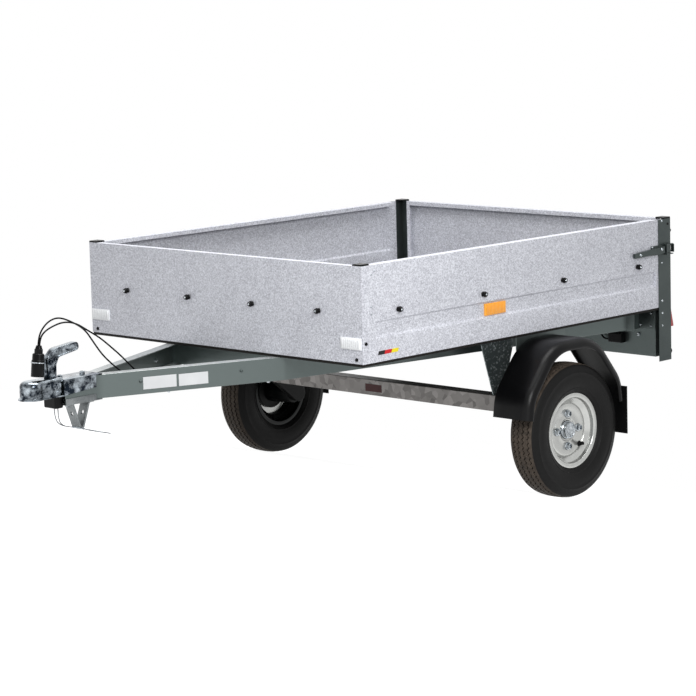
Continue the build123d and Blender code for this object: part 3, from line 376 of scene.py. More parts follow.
# Coupling and handle: bright barrel zinc on rough pressed steel; its patches from blue-black to pale grey
# are painted reflections, and its upward faces are paled by a painted highlight
coupling_zinc_painted_reflections = zinc_coat("bright_zinc_painted_reflections", "181e26", "bac3ca", grain=5.0, cloud=30.0, grain_share=0.12,
                          metallic=1.0, roughness=(0.08, 0.22), wave=0.6, blend=(0.42, 0.76), top_highlight=0.25)
# Bolts, nuts and rivets: clean bright zinc
bolt_zinc = zinc_coat("bright_zinc_bolt", "5f666b", "ced3d7", grain=2.5, cloud=9.0, grain_share=0.3,
                      metallic=1.0, roughness=(0.12, 0.24), wave=0.2)
# Wheel disc and barrel: silver wheel lacquer, light grey, its flake drawn 1.2 mm wide because real flake
# is too fine to show, with painted shade on the side that faces the trailer
rim_lacquer = zinc_coat("silver_wheel_lacquer", "acadab", "bebfbc", grain=1.2, cloud=50.0, grain_share=0.06,
                        metallic=0.75, roughness=(0.16, 0.24), wave=0.06)
paint_shade_inside(rim_lacquer, wheel_place[0] + 10.0, "1d1e1e")
tyre_rubber = tyre_compound(200.9, 202.2)
# Mudguards: blow-moulded polyethylene with a soft satin sheen
guard_plastic = moulded("satin_polyethylene", "040405", "070708", grain=1.8, depth=0.06, roughness=0.34,
                        shine=0.15, cloud=160.0)
# Plug, caps, lamps and buttons: black nylon
black_plastic = moulded("black_moulded_nylon", "030304", "060607", grain=1.2, depth=0.05, roughness=0.28,
                        shine=0.12)
# Mud flaps and buffers: dull black sheet rubber
sheet_rubber = moulded("sheet_rubber", "050506", "09090a", grain=2.2, depth=0.12, roughness=0.55, shine=0.12)
# Cable sheath: smooth black PVC with a thin highlight along its top
sheath = moulded("pvc_cable_sheath", "010101", "030303", grain=1.0, depth=0.03, roughness=0.34, shine=0.08)
# Breakaway cable: steel strand under clear film, pale grey
rope_steel = zinc_coat("coated_steel_strand", "5f6265", "94989c", grain=1.4, cloud=8.0, grain_share=0.6,
                       metallic=0.4, roughness=(0.3, 0.42), wave=0.1)
board_film = film_faced_board()
# Reflectors: clear and amber acrylic, bright and even behind a polished face
white_acrylic = clear_moulded("clear_prismatic_acrylic", "eceef0")
amber_acrylic = clear_moulded("amber_prismatic_acrylic", "f0a010")
lens_acrylic = lamp_lens_plastic(462.0)
# Plates and bands: cast vinyl film, flat even colour with a slight sheen
white_vinyl = moulded("white_vinyl", "c4c6c8", "cfd1d2", grain=3.0, depth=0.02, roughness=0.4, shine=0.4)
black_vinyl = moulded("black_vinyl", "040405", "09090a", grain=3.0, depth=0.02, roughness=0.35, shine=0.3)
red_vinyl = moulded("red_vinyl", "b3121a", "c0171e", grain=3.0, depth=0.02, roughness=0.35, shine=0.3)
yellow_vinyl = moulded("yellow_vinyl", "dccb22", "e4d42e", grain=3.0, depth=0.02, roughness=0.35, shine=0.3)
# Axle's plate: dark red anodised foil, flat and dull
axle_plate_foil = moulded("dark_red_foil", "451c1c", "542424", grain=3.0, depth=0.02, roughness=0.4,
                          shine=0.3)


# Making and finishing pieces

# Widest turns between two faces, in degrees, that still shade as one surface
flat_crease = 20.0      # keeps flats flat beside their broken edges
head_crease = 25.0
plain_crease = 32.0
cast_crease = 34.0
wheel_crease = 38.0
bent_crease = 40.0

# Shares of a head's top radius and height
crown_inset = 0.35
crown_rise = 0.18
recess_inset = 0.12


def finished(shape, name, body, finish, move=None, crease=plain_crease):
    """Turn a bmesh into a piece that rides on a body; edges sharper than the crease stay sharp."""
    if move is not None:
        bmesh.ops.transform(shape, matrix=move, verts=shape.verts)
    for face in shape.faces:
        face.smooth = True
    mesh = bpy.data.meshes.new(name)
    shape.to_mesh(mesh)
    shape.free()
    mesh.set_sharp_from_angle(angle=radians(crease))
    mesh.materials.append(finish)
    piece = bpy.data.objects.new(name, mesh)
    bpy.context.scene.collection.objects.link(piece)
    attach(piece, body)
    return piece


def soften(shape, width, segments=2, above=28.0):
    """Round every edge that is sharper than the angle."""
    sharp = [edge for edge in shape.edges if edge.is_manifold and edge.calc_face_angle() > radians(above)]
    bmesh.ops.bevel(shape, geom=sharp, offset=width * mm, segments=segments, profile=0.5, affect="EDGES",
                    material=-1, clamp_overlap=True)


def worked(node, finish, edge, crease):
    """A node's own shape with its points joined, its flats made whole and its edges broken."""
    shape = bmesh.new()
    shape.from_mesh(nodes[node].data)
    bmesh.ops.remove_doubles(shape, verts=shape.verts, dist=0.005 * mm)
    bmesh.ops.dissolve_limit(shape, angle_limit=radians(0.8), verts=shape.verts, edges=shape.edges,
                             use_dissolve_boundaries=False)
    if edge:
        soften(shape, edge)
    body = body_of(nodes[node])[0]
    piece = finished(shape, node + "_finished", body, finish, crease=crease)
    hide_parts(node)
    return piece


def spun(outline, steps, edge=0.0):
    """Turn a closed outline of (x, radius) points about X, in millimetres."""
    shape = bmesh.new()
    points = [shape.verts.new((x * mm, 0.0, radius * mm)) for x, radius in outline]
    edges = [shape.edges.new(pair) for pair in zip(points, points[1:] + points[:1])]
    bmesh.ops.spin(shape, geom=points + edges, axis=(1, 0, 0), cent=(0, 0, 0), angle=2 * pi, steps=steps,
                   use_merge=True, use_duplicate=False)
    bmesh.ops.remove_doubles(shape, verts=shape.verts, dist=0.002 * mm)
    bmesh.ops.recalc_face_normals(shape, faces=shape.faces)
    if edge:
        soften(shape, edge)
    return shape


def block(shape, low, high):
    """Block between two corners in millimetres."""
    middle = (Vector(low) + Vector(high)) * (mm / 2)
    size = (Vector(high) - Vector(low)) * mm
    place = Matrix.Translation(middle) @ Matrix.Diagonal((*size, 1.0))
    return bmesh.ops.create_cube(shape, size=1.0, matrix=place)["verts"]


def towards(place, outward):
    """Move that puts a head drawn on +Z on its seat, facing outward."""
    turn = Vector(outward).to_track_quat("Z", "Y").to_matrix().to_4x4()
    return Matrix.Translation(Vector(place) * mm) @ turn


def head(shape, place, outward, radius, height, sides=12, top_share=0.7, recess=0.5):
    """One bolt or rivet head: tapered sides, a raised crown and the recess in its middle."""
    seat = towards(place, outward)
    lift = Matrix.Translation((0.0, 0.0, height / 2 * mm))
    top_radius = radius * top_share * mm
    made = bmesh.ops.create_cone(shape, cap_ends=True, segments=sides, radius1=radius * mm,
                                 radius2=top_radius, depth=height * mm, matrix=seat @ lift)["verts"]
    faces = {face for vert in made for face in vert.link_faces}
    top = max(faces, key=lambda face: (seat.inverted() @ face.calc_center_median()).z)
    bmesh.ops.inset_individual(shape, faces=[top], thickness=top_radius * crown_inset,
                               depth=height * crown_rise * mm)
    bmesh.ops.inset_individual(shape, faces=[top], thickness=top_radius * recess_inset, depth=-recess * mm)


def both_sides(seats):
    """Each seat and its mirror image on the trailer's right side."""
    mirrored = [((-place[0], place[1], place[2]), (-outward[0], outward[1], outward[2]))
                for place, outward in seats]
    return list(seats) + mirrored


# Cords

def cord_curve(name, points, diameter, finish, move, node=None):
    """Free cord on one smooth spline through its route's control points."""
    curve = bpy.data.curves.new(name, "CURVE")
    curve.dimensions = "3D"
    curve.bevel_depth = diameter / 2 * mm
    curve.bevel_resolution = 5
    curve.resolution_u = 10
    curve.use_fill_caps = True
    spline = curve.splines.new("NURBS")
    spline.points.add(len(points) - 1)
    for point, place in zip(spline.points, points):
        point.co = (*(move @ (Vector(place) * mm)), 1.0)
    spline.order_u = 3
    spline.use_endpoint_u = True
    curve.materials.append(finish)
    cord = bpy.data.objects.new(name, curve)
    bpy.context.scene.collection.objects.link(cord)
    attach(cord, "chassis")
    if node:
        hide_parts(node)
    return cord


cable_diameter = 4.8
lead_diameter = 6.0
rope_diameter = 3.0
upper_route = (
    (135.2, -231, 468), (119.3, -270, 468), (93, -305, 467), (64, -334, 465), (30, -362, 470), (6, -395, 487),
    (-4, -428, 517), (-6, -465, 551), (-5, -497, 592), (-4, -528, 632), (-4, -576, 660), (-4, -622, 678),
    (-4, -658, 672), (-3.6, -685, 652), (-3.2, -698.8, 628.3), (-3, -701.3, 608.3),
)
lower_route = (
    (135.2, -231, 456), (123.9, -258.8, 456), (92, -284, 455), (60, -310, 458), (30, -338, 470),
    (10, -364, 500), (5, -398, 536), (4, -436, 568), (3, -478, 602), (3, -522, 628), (3, -566, 655),
    (3, -612, 664), (3, -653, 656), (3, -684, 644), (3, -699.1, 626.2), (3, -701.3, 608.3),
)
# The rope's route is in the standing frame, because it lies on the ground
rope_route = (
    (10, -971, 46.5), (10, -966.6, 29.5), (21, -963, 9), (42, -960, 2.2), (68, -957, 2.2), (96, -950.5, 3.2),
    (124, -945, 2.4), (150, -955, 1.8), (171, -978, 1.8), (199, -987, 1.8), (222, -969, 1.8),
    (221, -938, 1.8), (196, -918, 1.8), (161, -920, 1.8), (130, -937.5, 2.4), (95, -946.5, 3.2),
    (67, -953, 2.2), (41, -953, 2.2), (21, -953, 9.5), (10, -953.8, 31.9), (10, -958.4, 49.8),
)
lead_route = (
    (378, 1371, 394), (362, 1371, 393), (350, 1372, 396), (338, 1375, 406), (333, 1379, 414),
    (331, 1384, 420),
)
cable_upper = cord_curve("upper_cable", upper_route, cable_diameter, sheath, park, "cable_upper")
cable_lower = cord_curve("lower_cable", lower_route, cable_diameter, sheath, park, "cable_lower")
breakaway = cord_curve("breakaway_cable", rope_route, rope_diameter, rope_steel, Matrix(),
                       "breakaway_rope")
plug = worked("cable_plug", black_plastic, 0.8, cast_crease)
gland = worked("cable_plug_gland", black_plastic, 0.7, cast_crease)
ferrule = worked("breakaway_ferrule", bolt_zinc, 0.0, bent_crease)
for side, name in ((1, "left"), (-1, "right")):
    side_route = [(side * x, y, z) for x, y, z in lead_route]
    lead = cord_curve("lamp_lead_" + name, side_route, lead_diameter, sheath, park)


# Sheet, section and cast work: the frame's own shapes, each row with its finish, slot, broken edge and crease

worked_rows = (
    (("side_wall_left", "side_wall_right", "front_wall", "tailgate"), wall_zinc, "sheet", 0.5, flat_crease),
    (("front_posts",), post_zinc, "galvanised", 0.7, flat_crease),
    (("drawbar_arm_left", "drawbar_arm_right", "chassis_cross_members"),
     section_zinc, "galvanised", 1.2, flat_crease),
    (("axle_beam",), axle_zinc, "galvanised", 1.6, flat_crease),
    (("rear_light_panel", "rear_gussets"), section_zinc, "galvanised", 0.6, flat_crease),
    (("rear_post_left", "rear_post_right", "frame_hinges", "gate_hinges", "latches", "latch_loops"),
     rear_zinc, "galvanised", 0.6, flat_crease),
    (("axle_brackets",), bracket_zinc, "galvanised", 1.0, flat_crease),
    (("swing_arm_left", "swing_arm_right"), arm_paint, "galvanised", 1.2, flat_crease),
    (("fender_brackets",), section_zinc, "galvanised", 0.8, flat_crease),
    (("drawbar_base_plate", "parking_foot"), foot_zinc, "galvanised", 0.8, flat_crease),
    (("coupling_head",), coupling_zinc_painted_reflections, "cast_steel", 0.8, cast_crease),
    (("coupling_handle",), coupling_zinc_painted_reflections, "cast_steel", 1.2, cast_crease),
    (("plug_ring",), bolt_zinc, "galvanised", 0.0, bent_crease),
    (("post_caps", "tarp_buttons", "gate_buttons", "breakaway_holder", "tail_lamp_housings",
      "lamp_connectors", "cable_clip"), black_plastic, "black_plastic", 0.8, flat_crease),
    (("mud_flaps", "rear_buffers"), sheet_rubber, "flap_rubber", 0.8, flat_crease),
    (("tail_lamp_lenses",), lens_acrylic, "lens", 1.0, flat_crease),
    (("floor_panel",), board_film, "board", 0.5, flat_crease),
)
for row_nodes, finish, slot, edge, crease in worked_rows:
    for node in row_nodes:
        worked(node, finish, edge, crease)


# Wheels

tread_steps = 160
zigzag = 3.3            # a groove's swing to each side; one swing and back is 16 mm round the tread
groove_zone = (6.0, 31.0)
tread_depth_radius = 195.0
tyre_half = (
    (0.0, 206.5), (6.8, 206.4), (7.6, 200.4), (10.6, 200.3), (11.4, 206.2), (24.8, 205.0), (25.6, 199.2),
    (28.4, 198.9), (29.2, 204.2), (39.0, 202.2), (42.6, 199.4), (45.0, 194.5), (47.6, 187.0), (49.6, 179.2),
    (50.6, 178.4), (50.7, 176.8), (50.3, 176.0), (51.6, 166.0), (52.0, 158.0), (51.0, 147.0), (48.6, 137.0),
    (46.4, 131.4), (46.9, 130.2), (46.6, 128.8), (45.2, 128.0), (41.6, 121.8), (38.8, 118.4), (36.4, 116.9),
    (35.0, 115.6), (34.6, 110.0), (34.5, 103.2), (25.5, 103.2), (26.5, 118.0), (36.0, 134.0), (43.0, 158.0),
    (40.0, 180.0), (32.0, 190.0), (0.0, 194.0),
)
rim_half = (
    (0.0, 84.0), (12.2, 84.2), (13.2, 84.8), (20.4, 100.6), (22.0, 101.8), (33.4, 102.9), (34.5, 103.6),
    (34.5, 113.2), (35.2, 114.6), (36.2, 115.0), (37.1, 114.4), (37.5, 112.8), (37.3, 105.6), (36.7, 102.6),
    (35.2, 100.8), (33.4, 100.2), (22.8, 99.2), (21.6, 98.0), (14.8, 82.8), (13.2, 81.6), (0.0, 81.4),
)
disc_face = 15.0
disc_outline = (
    (10.6, 82.8), (13.4, 81.6), (14.8, 79.4), (disc_face, 76.0), (disc_face, 64.0), (14.4, 62.4),
    (14.4, 40.0), (disc_face, 38.0), (14.6, 36.0), (13.2, 34.6), (11.6, 33.6), (11.0, 32.0), (11.0, 29.2),
    (8.2, 29.2), (8.2, 33.6), (11.4, 37.0), (12.2, 39.4), (12.2, 76.0), (11.0, 79.0), (7.6, 80.4),
    (7.4, 82.8),
)
hub_outline = (
    (-100.0, 12.9), (-100.0, 32.0), (-22.0, 38.0), (3.9, 38.0), (3.9, 60.0), (11.9, 60.0), (11.9, 41.0),
    (7.2, 37.0), (7.2, 12.9),
)
cap_outline = (
    (7.4, 0.0), (7.4, 27.8), (14.4, 27.8), (15.4, 26.8), (15.6, 25.0), (16.6, 24.2), (17.6, 25.0),
    (24.6, 25.0), (26.6, 24.2), (27.4, 22.6), (27.2, 21.0), (25.2, 20.0), (24.0, 17.4), (23.6, 12.0),
    (23.4, 0.0),
)
nut_circle = 50.0
nut_flange = 2.2
valve_turn = radians(-43.0)      # from the rear, the lower rear of the disc
valve_radius = 74.0
valve_seat = 13.6
valve_lean = radians(12.0)       # towards the wheel's middle
# Foot, stem and cap: start along the valve, radius, height and top's share of the radius
valve_steps = ((0.0, 9.5, 4.0, 0.86), (3.8, 7.6, 9.0, 0.72), (12.6, 5.6, 7.0, 0.92))


def mirrored_outline(half):
    """Closed outline from its half with x from 0 outward and back to 0."""
    return (*half, *[(-x, radius) for x, radius in reversed(half) if x > 0.0])


def tyre_shape():
    """Casing with wall rings and four zigzag grooves round the tread."""
    shape = spun(mirrored_outline(tyre_half), tread_steps)
    for vert in shape.verts:
        radius = (vert.co.y ** 2 + vert.co.z ** 2) ** 0.5 / mm
        reach = abs(vert.co.x) / mm
        if radius > tread_depth_radius and groove_zone[0] < reach < groove_zone[1]:
            step = round(atan2(vert.co.y, vert.co.z) / (2 * pi) * tread_steps)
            vert.co.x += (zigzag if step % 2 else -zigzag) * mm
    return shape


def wheel_nuts():
    """Four hexagon nuts on round flanges, each with the stud's end sunk in its middle."""
    shape = bmesh.new()
    for quarter in range(4):
        turn = quarter * pi / 2
        seat = Vector((disc_face, nut_circle * cos(turn), nut_circle * sin(turn)))
        head(shape, seat, left, 13.0, nut_flange, sides=24, top_share=0.9, recess=0.0)
        nut_seat = seat + Vector((nut_flange, 0.0, 0.0))
        head(shape, nut_seat, left, 10.4, 7.4, sides=6, top_share=0.96, recess=4.5)
    return shape


def valve():
    """Snap-in rubber valve: a wide foot, a tapered stem and its cap."""
    shape = bmesh.new()
    out = Vector((0.0, cos(valve_turn), sin(valve_turn)))
    foot = out * valve_radius + Vector((valve_seat, 0.0, 0.0))
    axis = Vector((cos(valve_lean), 0.0, 0.0)) - out * sin(valve_lean)
    for start, radius, height, share in valve_steps:
        head(shape, foot + axis * start, axis, radius, height, sides=20, top_share=share, recess=0.2)
    return shape


def wheel(side):
    """All pieces of one wheel; side is 1 on the left and -1 on the right."""
    name = "left" if side > 0 else "right"
    place = Vector((side * wheel_place[0], wheel_place[1], wheel_place[2])) * mm
    move = park @ Matrix.Translation(place) @ Matrix.Diagonal((side, 1.0, 1.0, 1.0))
    made = (
        ("tyre", tyre_shape(), tyre_rubber, "tyre", "tyre_"),
        ("wheel_barrel", spun(mirrored_outline(rim_half), 120), rim_lacquer, "rim", "rim_"),
        ("wheel_disc", spun(disc_outline, 120), rim_lacquer, "rim", None),
        ("wheel_hub", spun(hub_outline, 72, 0.4), arm_paint, "hub", "hub_"),
        ("hub_cap", spun(cap_outline, 72), bolt_zinc, "hub", None),
        ("wheel_nuts", wheel_nuts(), bolt_zinc, "hub", None),
        ("tyre_valve", valve(), sheet_rubber, "tyre", None),
    )
    for part, shape, finish, slot, node in made:
        if side < 0:
            bmesh.ops.reverse_faces(shape, faces=shape.faces)
        piece = finished(shape, part + "_" + name + "_piece", "wheel_" + name, finish, move,
                         wheel_crease)
        if node:
            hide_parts(node + name)


wheel(1)
wheel(-1)


# Reflectors

rib_rise = 1.8          # a rib's thickness, of which a little is sunk in the slab
rib_lift = 0.8          # its middle above the slab's face
rib_share = 0.78        # of the pitch
rib_end = 7.0           # plain slab left above and below the ribs, both together
rib_margin = 8.0        # and beside them


def reflector(name, node, centre, size, outward, ribs, finish):
    """Reflector pair: a slab with rounded edges and upright prism ribs across its face."""
    shape = bmesh.new()
    width, height, depth = size
    slab = depth - rib_rise
    along = Vector((abs(outward[1]), abs(outward[0]), 0.0))
    across = Vector((abs(outward[0]), abs(outward[1]), 0.0))
    upright = Vector(up)
    pitch = (width - rib_margin) / ribs
    half_slab = along * (width / 2) + upright * (height / 2) + across * (slab / 2)
    half_rib = along * (pitch * rib_share / 2) + upright * ((height - rib_end) / 2) + across * (rib_rise / 2)
    for side in (1, -1):
        out = Vector((side * outward[0], outward[1], 0.0))
        middle = Vector((side * centre[0], centre[1], centre[2])) + out * (slab / 2)
        block(shape, middle - half_slab, middle + half_slab)
        for count in range(ribs):
            place = middle + out * (slab / 2 + rib_lift) + along * ((count + 0.5 - ribs / 2) * pitch)
            block(shape, place - half_rib, place + half_rib)
    soften(shape, 0.5)
    piece = finished(shape, name, "chassis", finish, park)
    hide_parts(node)


reflector("front_reflector_pair", "front_reflectors", centre=(533.0, 0.0, 569.0), size=(80.0, 34.0, 6.0),
          outward=front, ribs=9, finish=white_acrylic)
reflector("side_reflector_pair", "side_reflectors", centre=(571.0, 578.0, 604.0), size=(95.0, 36.0, 6.0),
          outward=left, ribs=14, finish=amber_acrylic)


# Mudguards

# Corners of the arch's front half, from the guard's middle: Y, Z
guard_corners = ((-235.0, 274.0), (-225.0, 342.0), (-103.0, 489.0))
guard_rounds = (120.0, 150.0)        # radii of its bends at the shoulder and the crest
bend_steps = 12
guard_sheet = 3.4
# Section across the guard: X from its inner edge, depth below its outer surface
guard_section = (
    (1.8, 14.0), (1.8, 4.0), (3.4, 1.2), (7.0, 0.0), (40.0, 0.0), (80.0, 0.0), (114.0, 0.0), (124.0, 2.0),
    (132.2, 6.6), (137.6, 13.4), (140.2, 21.6), (140.2, 27.0), (138.0, 29.8), (134.6, 30.0),
)


def drawn_on(shape, row, move):
    """Extrude the last row of edges along a straight run and return the new row."""
    made = bmesh.ops.extrude_edge_only(shape, edges=row)["geom"]
    verts = [item for item in made if isinstance(item, bmesh.types.BMVert)]
    bmesh.ops.translate(shape, verts=verts, vec=move)
    return [item for item in made if isinstance(item, bmesh.types.BMEdge)
            and all(vert in verts for vert in item.verts)]


def bent_on(shape, row, centre, turn):
    """Turn the last row of edges about a line along X and return the new row."""
    verts = list({vert for edge in row for vert in edge.verts})
    last = bmesh.ops.spin(shape, geom=verts + row, axis=(1, 0, 0), cent=centre * mm, angle=-turn,
                          steps=bend_steps, use_merge=False, use_duplicate=False)["geom_last"]
    return [item for item in last if isinstance(item, bmesh.types.BMEdge)]


def mudguard():
    """Moulded arch: its section is drawn up the foot, bent over the shoulder and crest, and down again."""
    shape = bmesh.new()
    corners = [Vector((guard_inner, guard_middle + y, z)) for y, z in guard_corners]
    corners += [Vector((guard_inner, guard_middle - y, z)) for y, z in reversed(guard_corners)]
    rise = (corners[1] - corners[0]).normalized()
    inward = Vector((0.0, rise.z, -rise.y))
    section = [corners[0] + Vector((reach, 0.0, 0.0)) + inward * depth for reach, depth in guard_section]
    points = [shape.verts.new(place * mm) for place in section]
    row = [shape.edges.new(pair) for pair in zip(points, points[1:])]
    place = corners[0]
    for here, after, radius in zip(corners[1:], corners[2:], guard_rounds + guard_rounds[::-1]):
        way = (here - place).normalized()
        onward = (after - here).normalized()
        turn = way.angle(onward)
        start = here - way * (radius * tan(turn / 2))
        row = drawn_on(shape, row, (start - place) * mm)
        row = bent_on(shape, row, start + Vector((0.0, way.z, -way.y)) * radius, turn)
        place = here + onward * (radius * tan(turn / 2))
    drawn_on(shape, row, (corners[-1] - place) * mm)
    bmesh.ops.remove_doubles(shape, verts=shape.verts, dist=0.01 * mm)
    bmesh.ops.recalc_face_normals(shape, faces=shape.faces)
    top = max(shape.faces, key=lambda face: face.calc_center_median().z)
    if top.normal.z < 0.0:
        bmesh.ops.reverse_faces(shape, faces=shape.faces)
    bmesh.ops.solidify(shape, geom=shape.faces[:], thickness=guard_sheet * mm)
    return shape


for side, name in ((1, "left"), (-1, "right")):
    guard = mudguard()
    if side < 0:
        bmesh.ops.reverse_faces(guard, faces=guard.faces)
    guard_piece = finished(guard, "mudguard_" + name, "chassis", guard_plastic,
                           park @ Matrix.Diagonal((side, 1.0, 1.0, 1.0)), bent_crease)
    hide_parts("fender_" + name)


# Fasteners

hexagon = {"sides": 6, "top_share": 0.92}
leaf_face = rear_face + 3.0          # outer face of the hinge leaves and the loops' feet
lever_face = half_width + 13.0       # outer face of the latch levers
hinge_steps = [x + step for x in (-300, 300) for step in (-26, 26)]


def heads(name, seats, radius, height, body="chassis", finish=bolt_zinc, slot="galvanised", **form):
    """Row of like heads, each seat a place and an outward direction in the level frame."""
    shape = bmesh.new()
    for place, outward in seats:
        head(shape, place, outward, radius, height, **form)
    return finished(shape, name, body, finish, park, head_crease)


wall_rivet_places = ((41, 763), (38, 671), (38, 650), (37, 529), (54, 773))
heads("wall_rivets", both_sides([((half_width, y, z), left) for y, z in wall_rivet_places]), 3.4, 1.6)
heads("corner_bolts", both_sides([((half_width, 13, 569), left), ((552, 0, 523), front)]), 5.5, 3.0,
      finish=black_plastic, slot="black_plastic", sides=16, top_share=0.8, recess=0.8)
heads("post_rivets", both_sides([((half_width, 1388, z), left) for z in (785, 653, 531, 492, 451.5)]),
      3.6, 1.8)
heads("post_screws", both_sides([((half_width, 1419, 774), left), ((560, rear_face, 470), rear),
                                 ((560, rear_face, 400), rear)]),
      4.2, 2.4, finish=black_plastic, slot="black_plastic", sides=16)
heads("gusset_rivets", both_sides([((x, 1382, z), front) for x in (492, 535) for z in (448, 488)]), 3.8, 1.8)
heads("panel_bolts", both_sides([((485, panel_face, 417), front)]), 7.0, 5.0, recess=0.4, **hexagon)
heads("arm_bolts", both_sides([((79.5, -398, 471.9), arm_out), ((196.4, -111.6, 474.6), arm_out)]),
      5.2, 3.4, finish=rear_zinc, recess=0.4, **hexagon)
heads("arm_under_bolts", both_sides([((104, -315, arm_bottom), down), ((221, -28, arm_bottom), down)]),
      5.0, 3.6, recess=0.3, **hexagon)
heads("yoke_bolts", [((0, y, yoke_top), up) for y in (-631, -548)], 8.5, 7.5,
      finish=coupling_zinc_painted_reflections, slot="cast_steel", sides=6, top_share=0.93, recess=0.8)
heads("gate_hinge_rivets", [((x, leaf_face, 536), rear) for x in hinge_steps], 4.2, 2.2, body="tailgate")
heads("frame_hinge_rivets", [((x, leaf_face, 476), rear) for x in hinge_steps], 4.2, 2.2)
heads("loop_rivets", [((x, leaf_face, z), rear) for x in (-511, 511) for z in (685, 705)], 3.6, 1.8,
      body="tailgate")
heads("latch_rivets", both_sides([((half_width + 3, 1336, z), left) for z in (706, 684)]), 3.6, 1.8)
heads("latch_pins", both_sides([((lever_face, 1372, 697), left), ((lever_face, 1262, 690), left)]), 4.6, 2.2,
      sides=16, top_share=0.8)
heads("flap_bolts", both_sides([((x, guard_rear - 4, 300), front) for x in (619, 673)]), 7.0, 4.0,
      recess=0.4, **hexagon)
heads("flap_nuts", both_sides([((x, guard_rear + 4.3, 300), rear) for x in (619, 673)]), 7.0, 5.0,
      recess=0.8, **hexagon)
heads("bracket_bolts", both_sides([((455, y, 492), left) for y in (666, 786)]), 8.0, 5.0, **hexagon)
heads("carrier_bolts", both_sides([((guard_inner - 3, guard_middle + step, 475), (-1.0, 0.0, 0.0))
                                   for step in (-80, 80)]), 6.5, 4.5, recess=0.4, **hexagon)
heads("arm_inner_bolts", both_sides([((205.6, -80, 464), arm_in)]), 6.5, 4.0, recess=0.4, **hexagon)
heads("foot_bolts", [((0, y, arm_bottom - 9), down) for y in (-608, -532)], 7.0, 5.0, recess=0.4, **hexagon)

front_buttons = [((step * 271.0, -button_length, button_height), front) for step in (-1.5, -0.5, 0.5, 1.5)]
side_buttons = both_sides([((half_width + button_length, 150.0 + step * 370.0, button_height), left)
                           for step in range(4)])
back_buttons = both_sides([((half_width - 15.0, rear_face + button_length, gate_button_height), rear)])
heads("button_screws", front_buttons + side_buttons + back_buttons, 3.4, 0.8, sides=16, top_share=0.8)
heads("gate_button_screws", both_sides([((187.0, rear_face + button_length, gate_button_height), rear)]),
      3.4, 0.8, body="tailgate", sides=16, top_share=0.8)


# Plates and bands

plate_thickness = 1.0
band_low = 531.0
band_high = 542.0
band_slant = 0.4
axle_plate_corners = ((-81.0, 700.4, 274.0), (-11.0, 701.2, 298.0))


def along_arm(y):
    """Point on the left arm's outer face at one Y, seen from above."""
    share = (y - arm_knee_front[1]) / (arm_knee_rear[1] - arm_knee_front[1])
    return Vector((arm_knee_front[0] + share * (arm_knee_rear[0] - arm_knee_front[0]), y, 0.0))


def arm_plate(name, y0, y1, low, high):
    """Blank white plate glued flat on the left arm's outer face, between two places along it."""
    shape = bmesh.new()
    run = (along_arm(y1) - along_arm(y0)).length
    block(shape, (0.0, -plate_thickness / 2, low), (run, plate_thickness / 2, high))
    soften(shape, 0.2, 1)
    turn = Matrix.Rotation(atan2(arm_way.y, arm_way.x), 4, "Z")
    finished(shape, name, "chassis", white_vinyl,
             park @ Matrix.Translation(along_arm(y0) * mm) @ turn)


def wall_band(name, y0, y1, finish):
    """One slanted field of the three-coloured band on the left side wall."""
    shape = bmesh.new()
    verts = block(shape, (half_width - 0.1, y0, band_low), (half_width + 0.4, y1, band_high))
    for vert in verts:
        vert.co.y += (vert.co.z - band_low * mm) * band_slant
    finished(shape, name, "chassis", finish, park)


def axle_plate():
    """Small plate on the front face of the axle tube."""
    shape = bmesh.new()
    block(shape, *axle_plate_corners)
    soften(shape, 0.2, 1)
    finished(shape, "axle_plate", "chassis", axle_plate_foil, park)


arm_plate("arm_plate_front", -391.5, -297.6, 448.0, 483.5)
arm_plate("arm_plate_rear", -291.0, -207.5, 448.0, 482.5)
wall_band("band_black", 61.0, 88.0, black_vinyl)
wall_band("band_red", 88.0, 117.0, red_vinyl)
wall_band("band_yellow", 117.0, 145.0, yellow_vinyl)
axle_plate()


# Floor and lights

floor_glow = 0.92
floor_reach = 30.0
world_light = 0.46      # on the object; the camera and mirrors see full white


def seen_directly(owner):
    """1 for what the camera sees straight, mirrored or through glass, and 0 for light on other paths."""
    path = add_node(owner, "ShaderNodeLightPath")
    straight = add_node(owner, "ShaderNodeMath", {"operation": "MAXIMUM"},
                        {0: path.outputs["Is Camera Ray"], 1: path.outputs["Is Glossy Ray"]})
    return add_node(owner, "ShaderNodeMath", {"operation": "MAXIMUM"},
                    {0: straight.outputs[0], 1: path.outputs["Is Transmission Ray"]}).outputs[0]


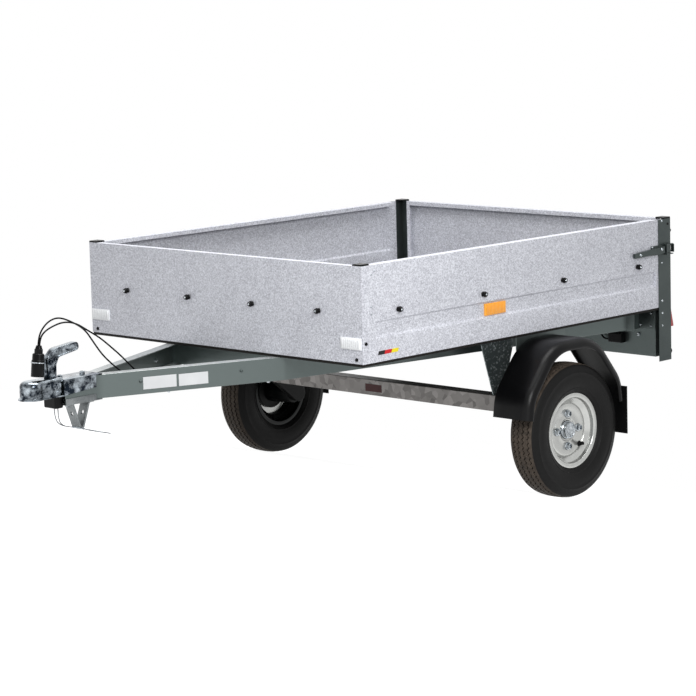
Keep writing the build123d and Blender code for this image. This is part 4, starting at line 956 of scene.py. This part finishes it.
def stage_floor():
    """Matt floor that keeps the trailer's shadow and reads as white."""
    material = blank_material("pale_floor")
    glow = add_node(material, "ShaderNodeMath", {"operation": "MULTIPLY"},
                    {0: seen_directly(material), 1: floor_glow})
    light = add_node(material, "ShaderNodeEmission", None, {"Strength": glow.outputs[0]})
    matt = add_node(material, "ShaderNodeBsdfDiffuse", None, {"Color": colour("a8a8a8")})
    both = add_node(material, "ShaderNodeAddShader", None, {0: matt.outputs[0], 1: light.outputs[0]})
    add_node(material, "ShaderNodeOutputMaterial", None, {"Surface": both.outputs[0]})
    shape = bmesh.new()
    bmesh.ops.create_grid(shape, x_segments=1, y_segments=1, size=floor_reach)
    mesh = bpy.data.meshes.new("floor")
    shape.to_mesh(mesh)
    shape.free()
    mesh.materials.append(material)
    floor = bpy.data.objects.new("floor", mesh)
    bpy.context.scene.collection.objects.link(floor)


def studio_world():
    """White surroundings that light the trailer at a plain level."""
    world = bpy.data.worlds.new("studio")
    bpy.context.scene.world = world
    world.use_nodes = True
    world.node_tree.nodes.clear()
    strength = add_node(world, "ShaderNodeMapRange", None,
                        {"Value": seen_directly(world), "To Min": world_light, "To Max": 1.0})
    back = add_node(world, "ShaderNodeBackground", None,
                    {"Color": (1.0, 1.0, 1.0, 1.0), "Strength": strength.outputs[0]})
    add_node(world, "ShaderNodeOutputWorld", None, {"Surface": back.outputs[0]})


def soft_lamp(name, place, aim, size, watts):
    """Square area lamp; its place and aim are in the level frame, in metres."""
    lamp = bpy.data.lights.new(name, "AREA")
    lamp.shape = "SQUARE"
    lamp.size = size
    lamp.energy = watts
    lamp_object = bpy.data.objects.new(name, lamp)
    place = park @ Vector(place)
    aim = park @ Vector(aim)
    lamp_object.location = place
    lamp_object.rotation_euler = (aim - place).to_track_quat("-Z", "Y").to_euler()
    bpy.context.scene.collection.objects.link(lamp_object)


stage_floor()
studio_world()
soft_lamp("key", place=(2.7, -1.1, 1.9), aim=(0.5, 0.1, 0.6), size=1.2, watts=70.0)
soft_lamp("top", place=(0.2, 0.3, 3.4), aim=(0.0, 0.6, 0.5), size=2.4, watts=120.0)
bpy.context.scene.view_settings.view_transform = "Standard"
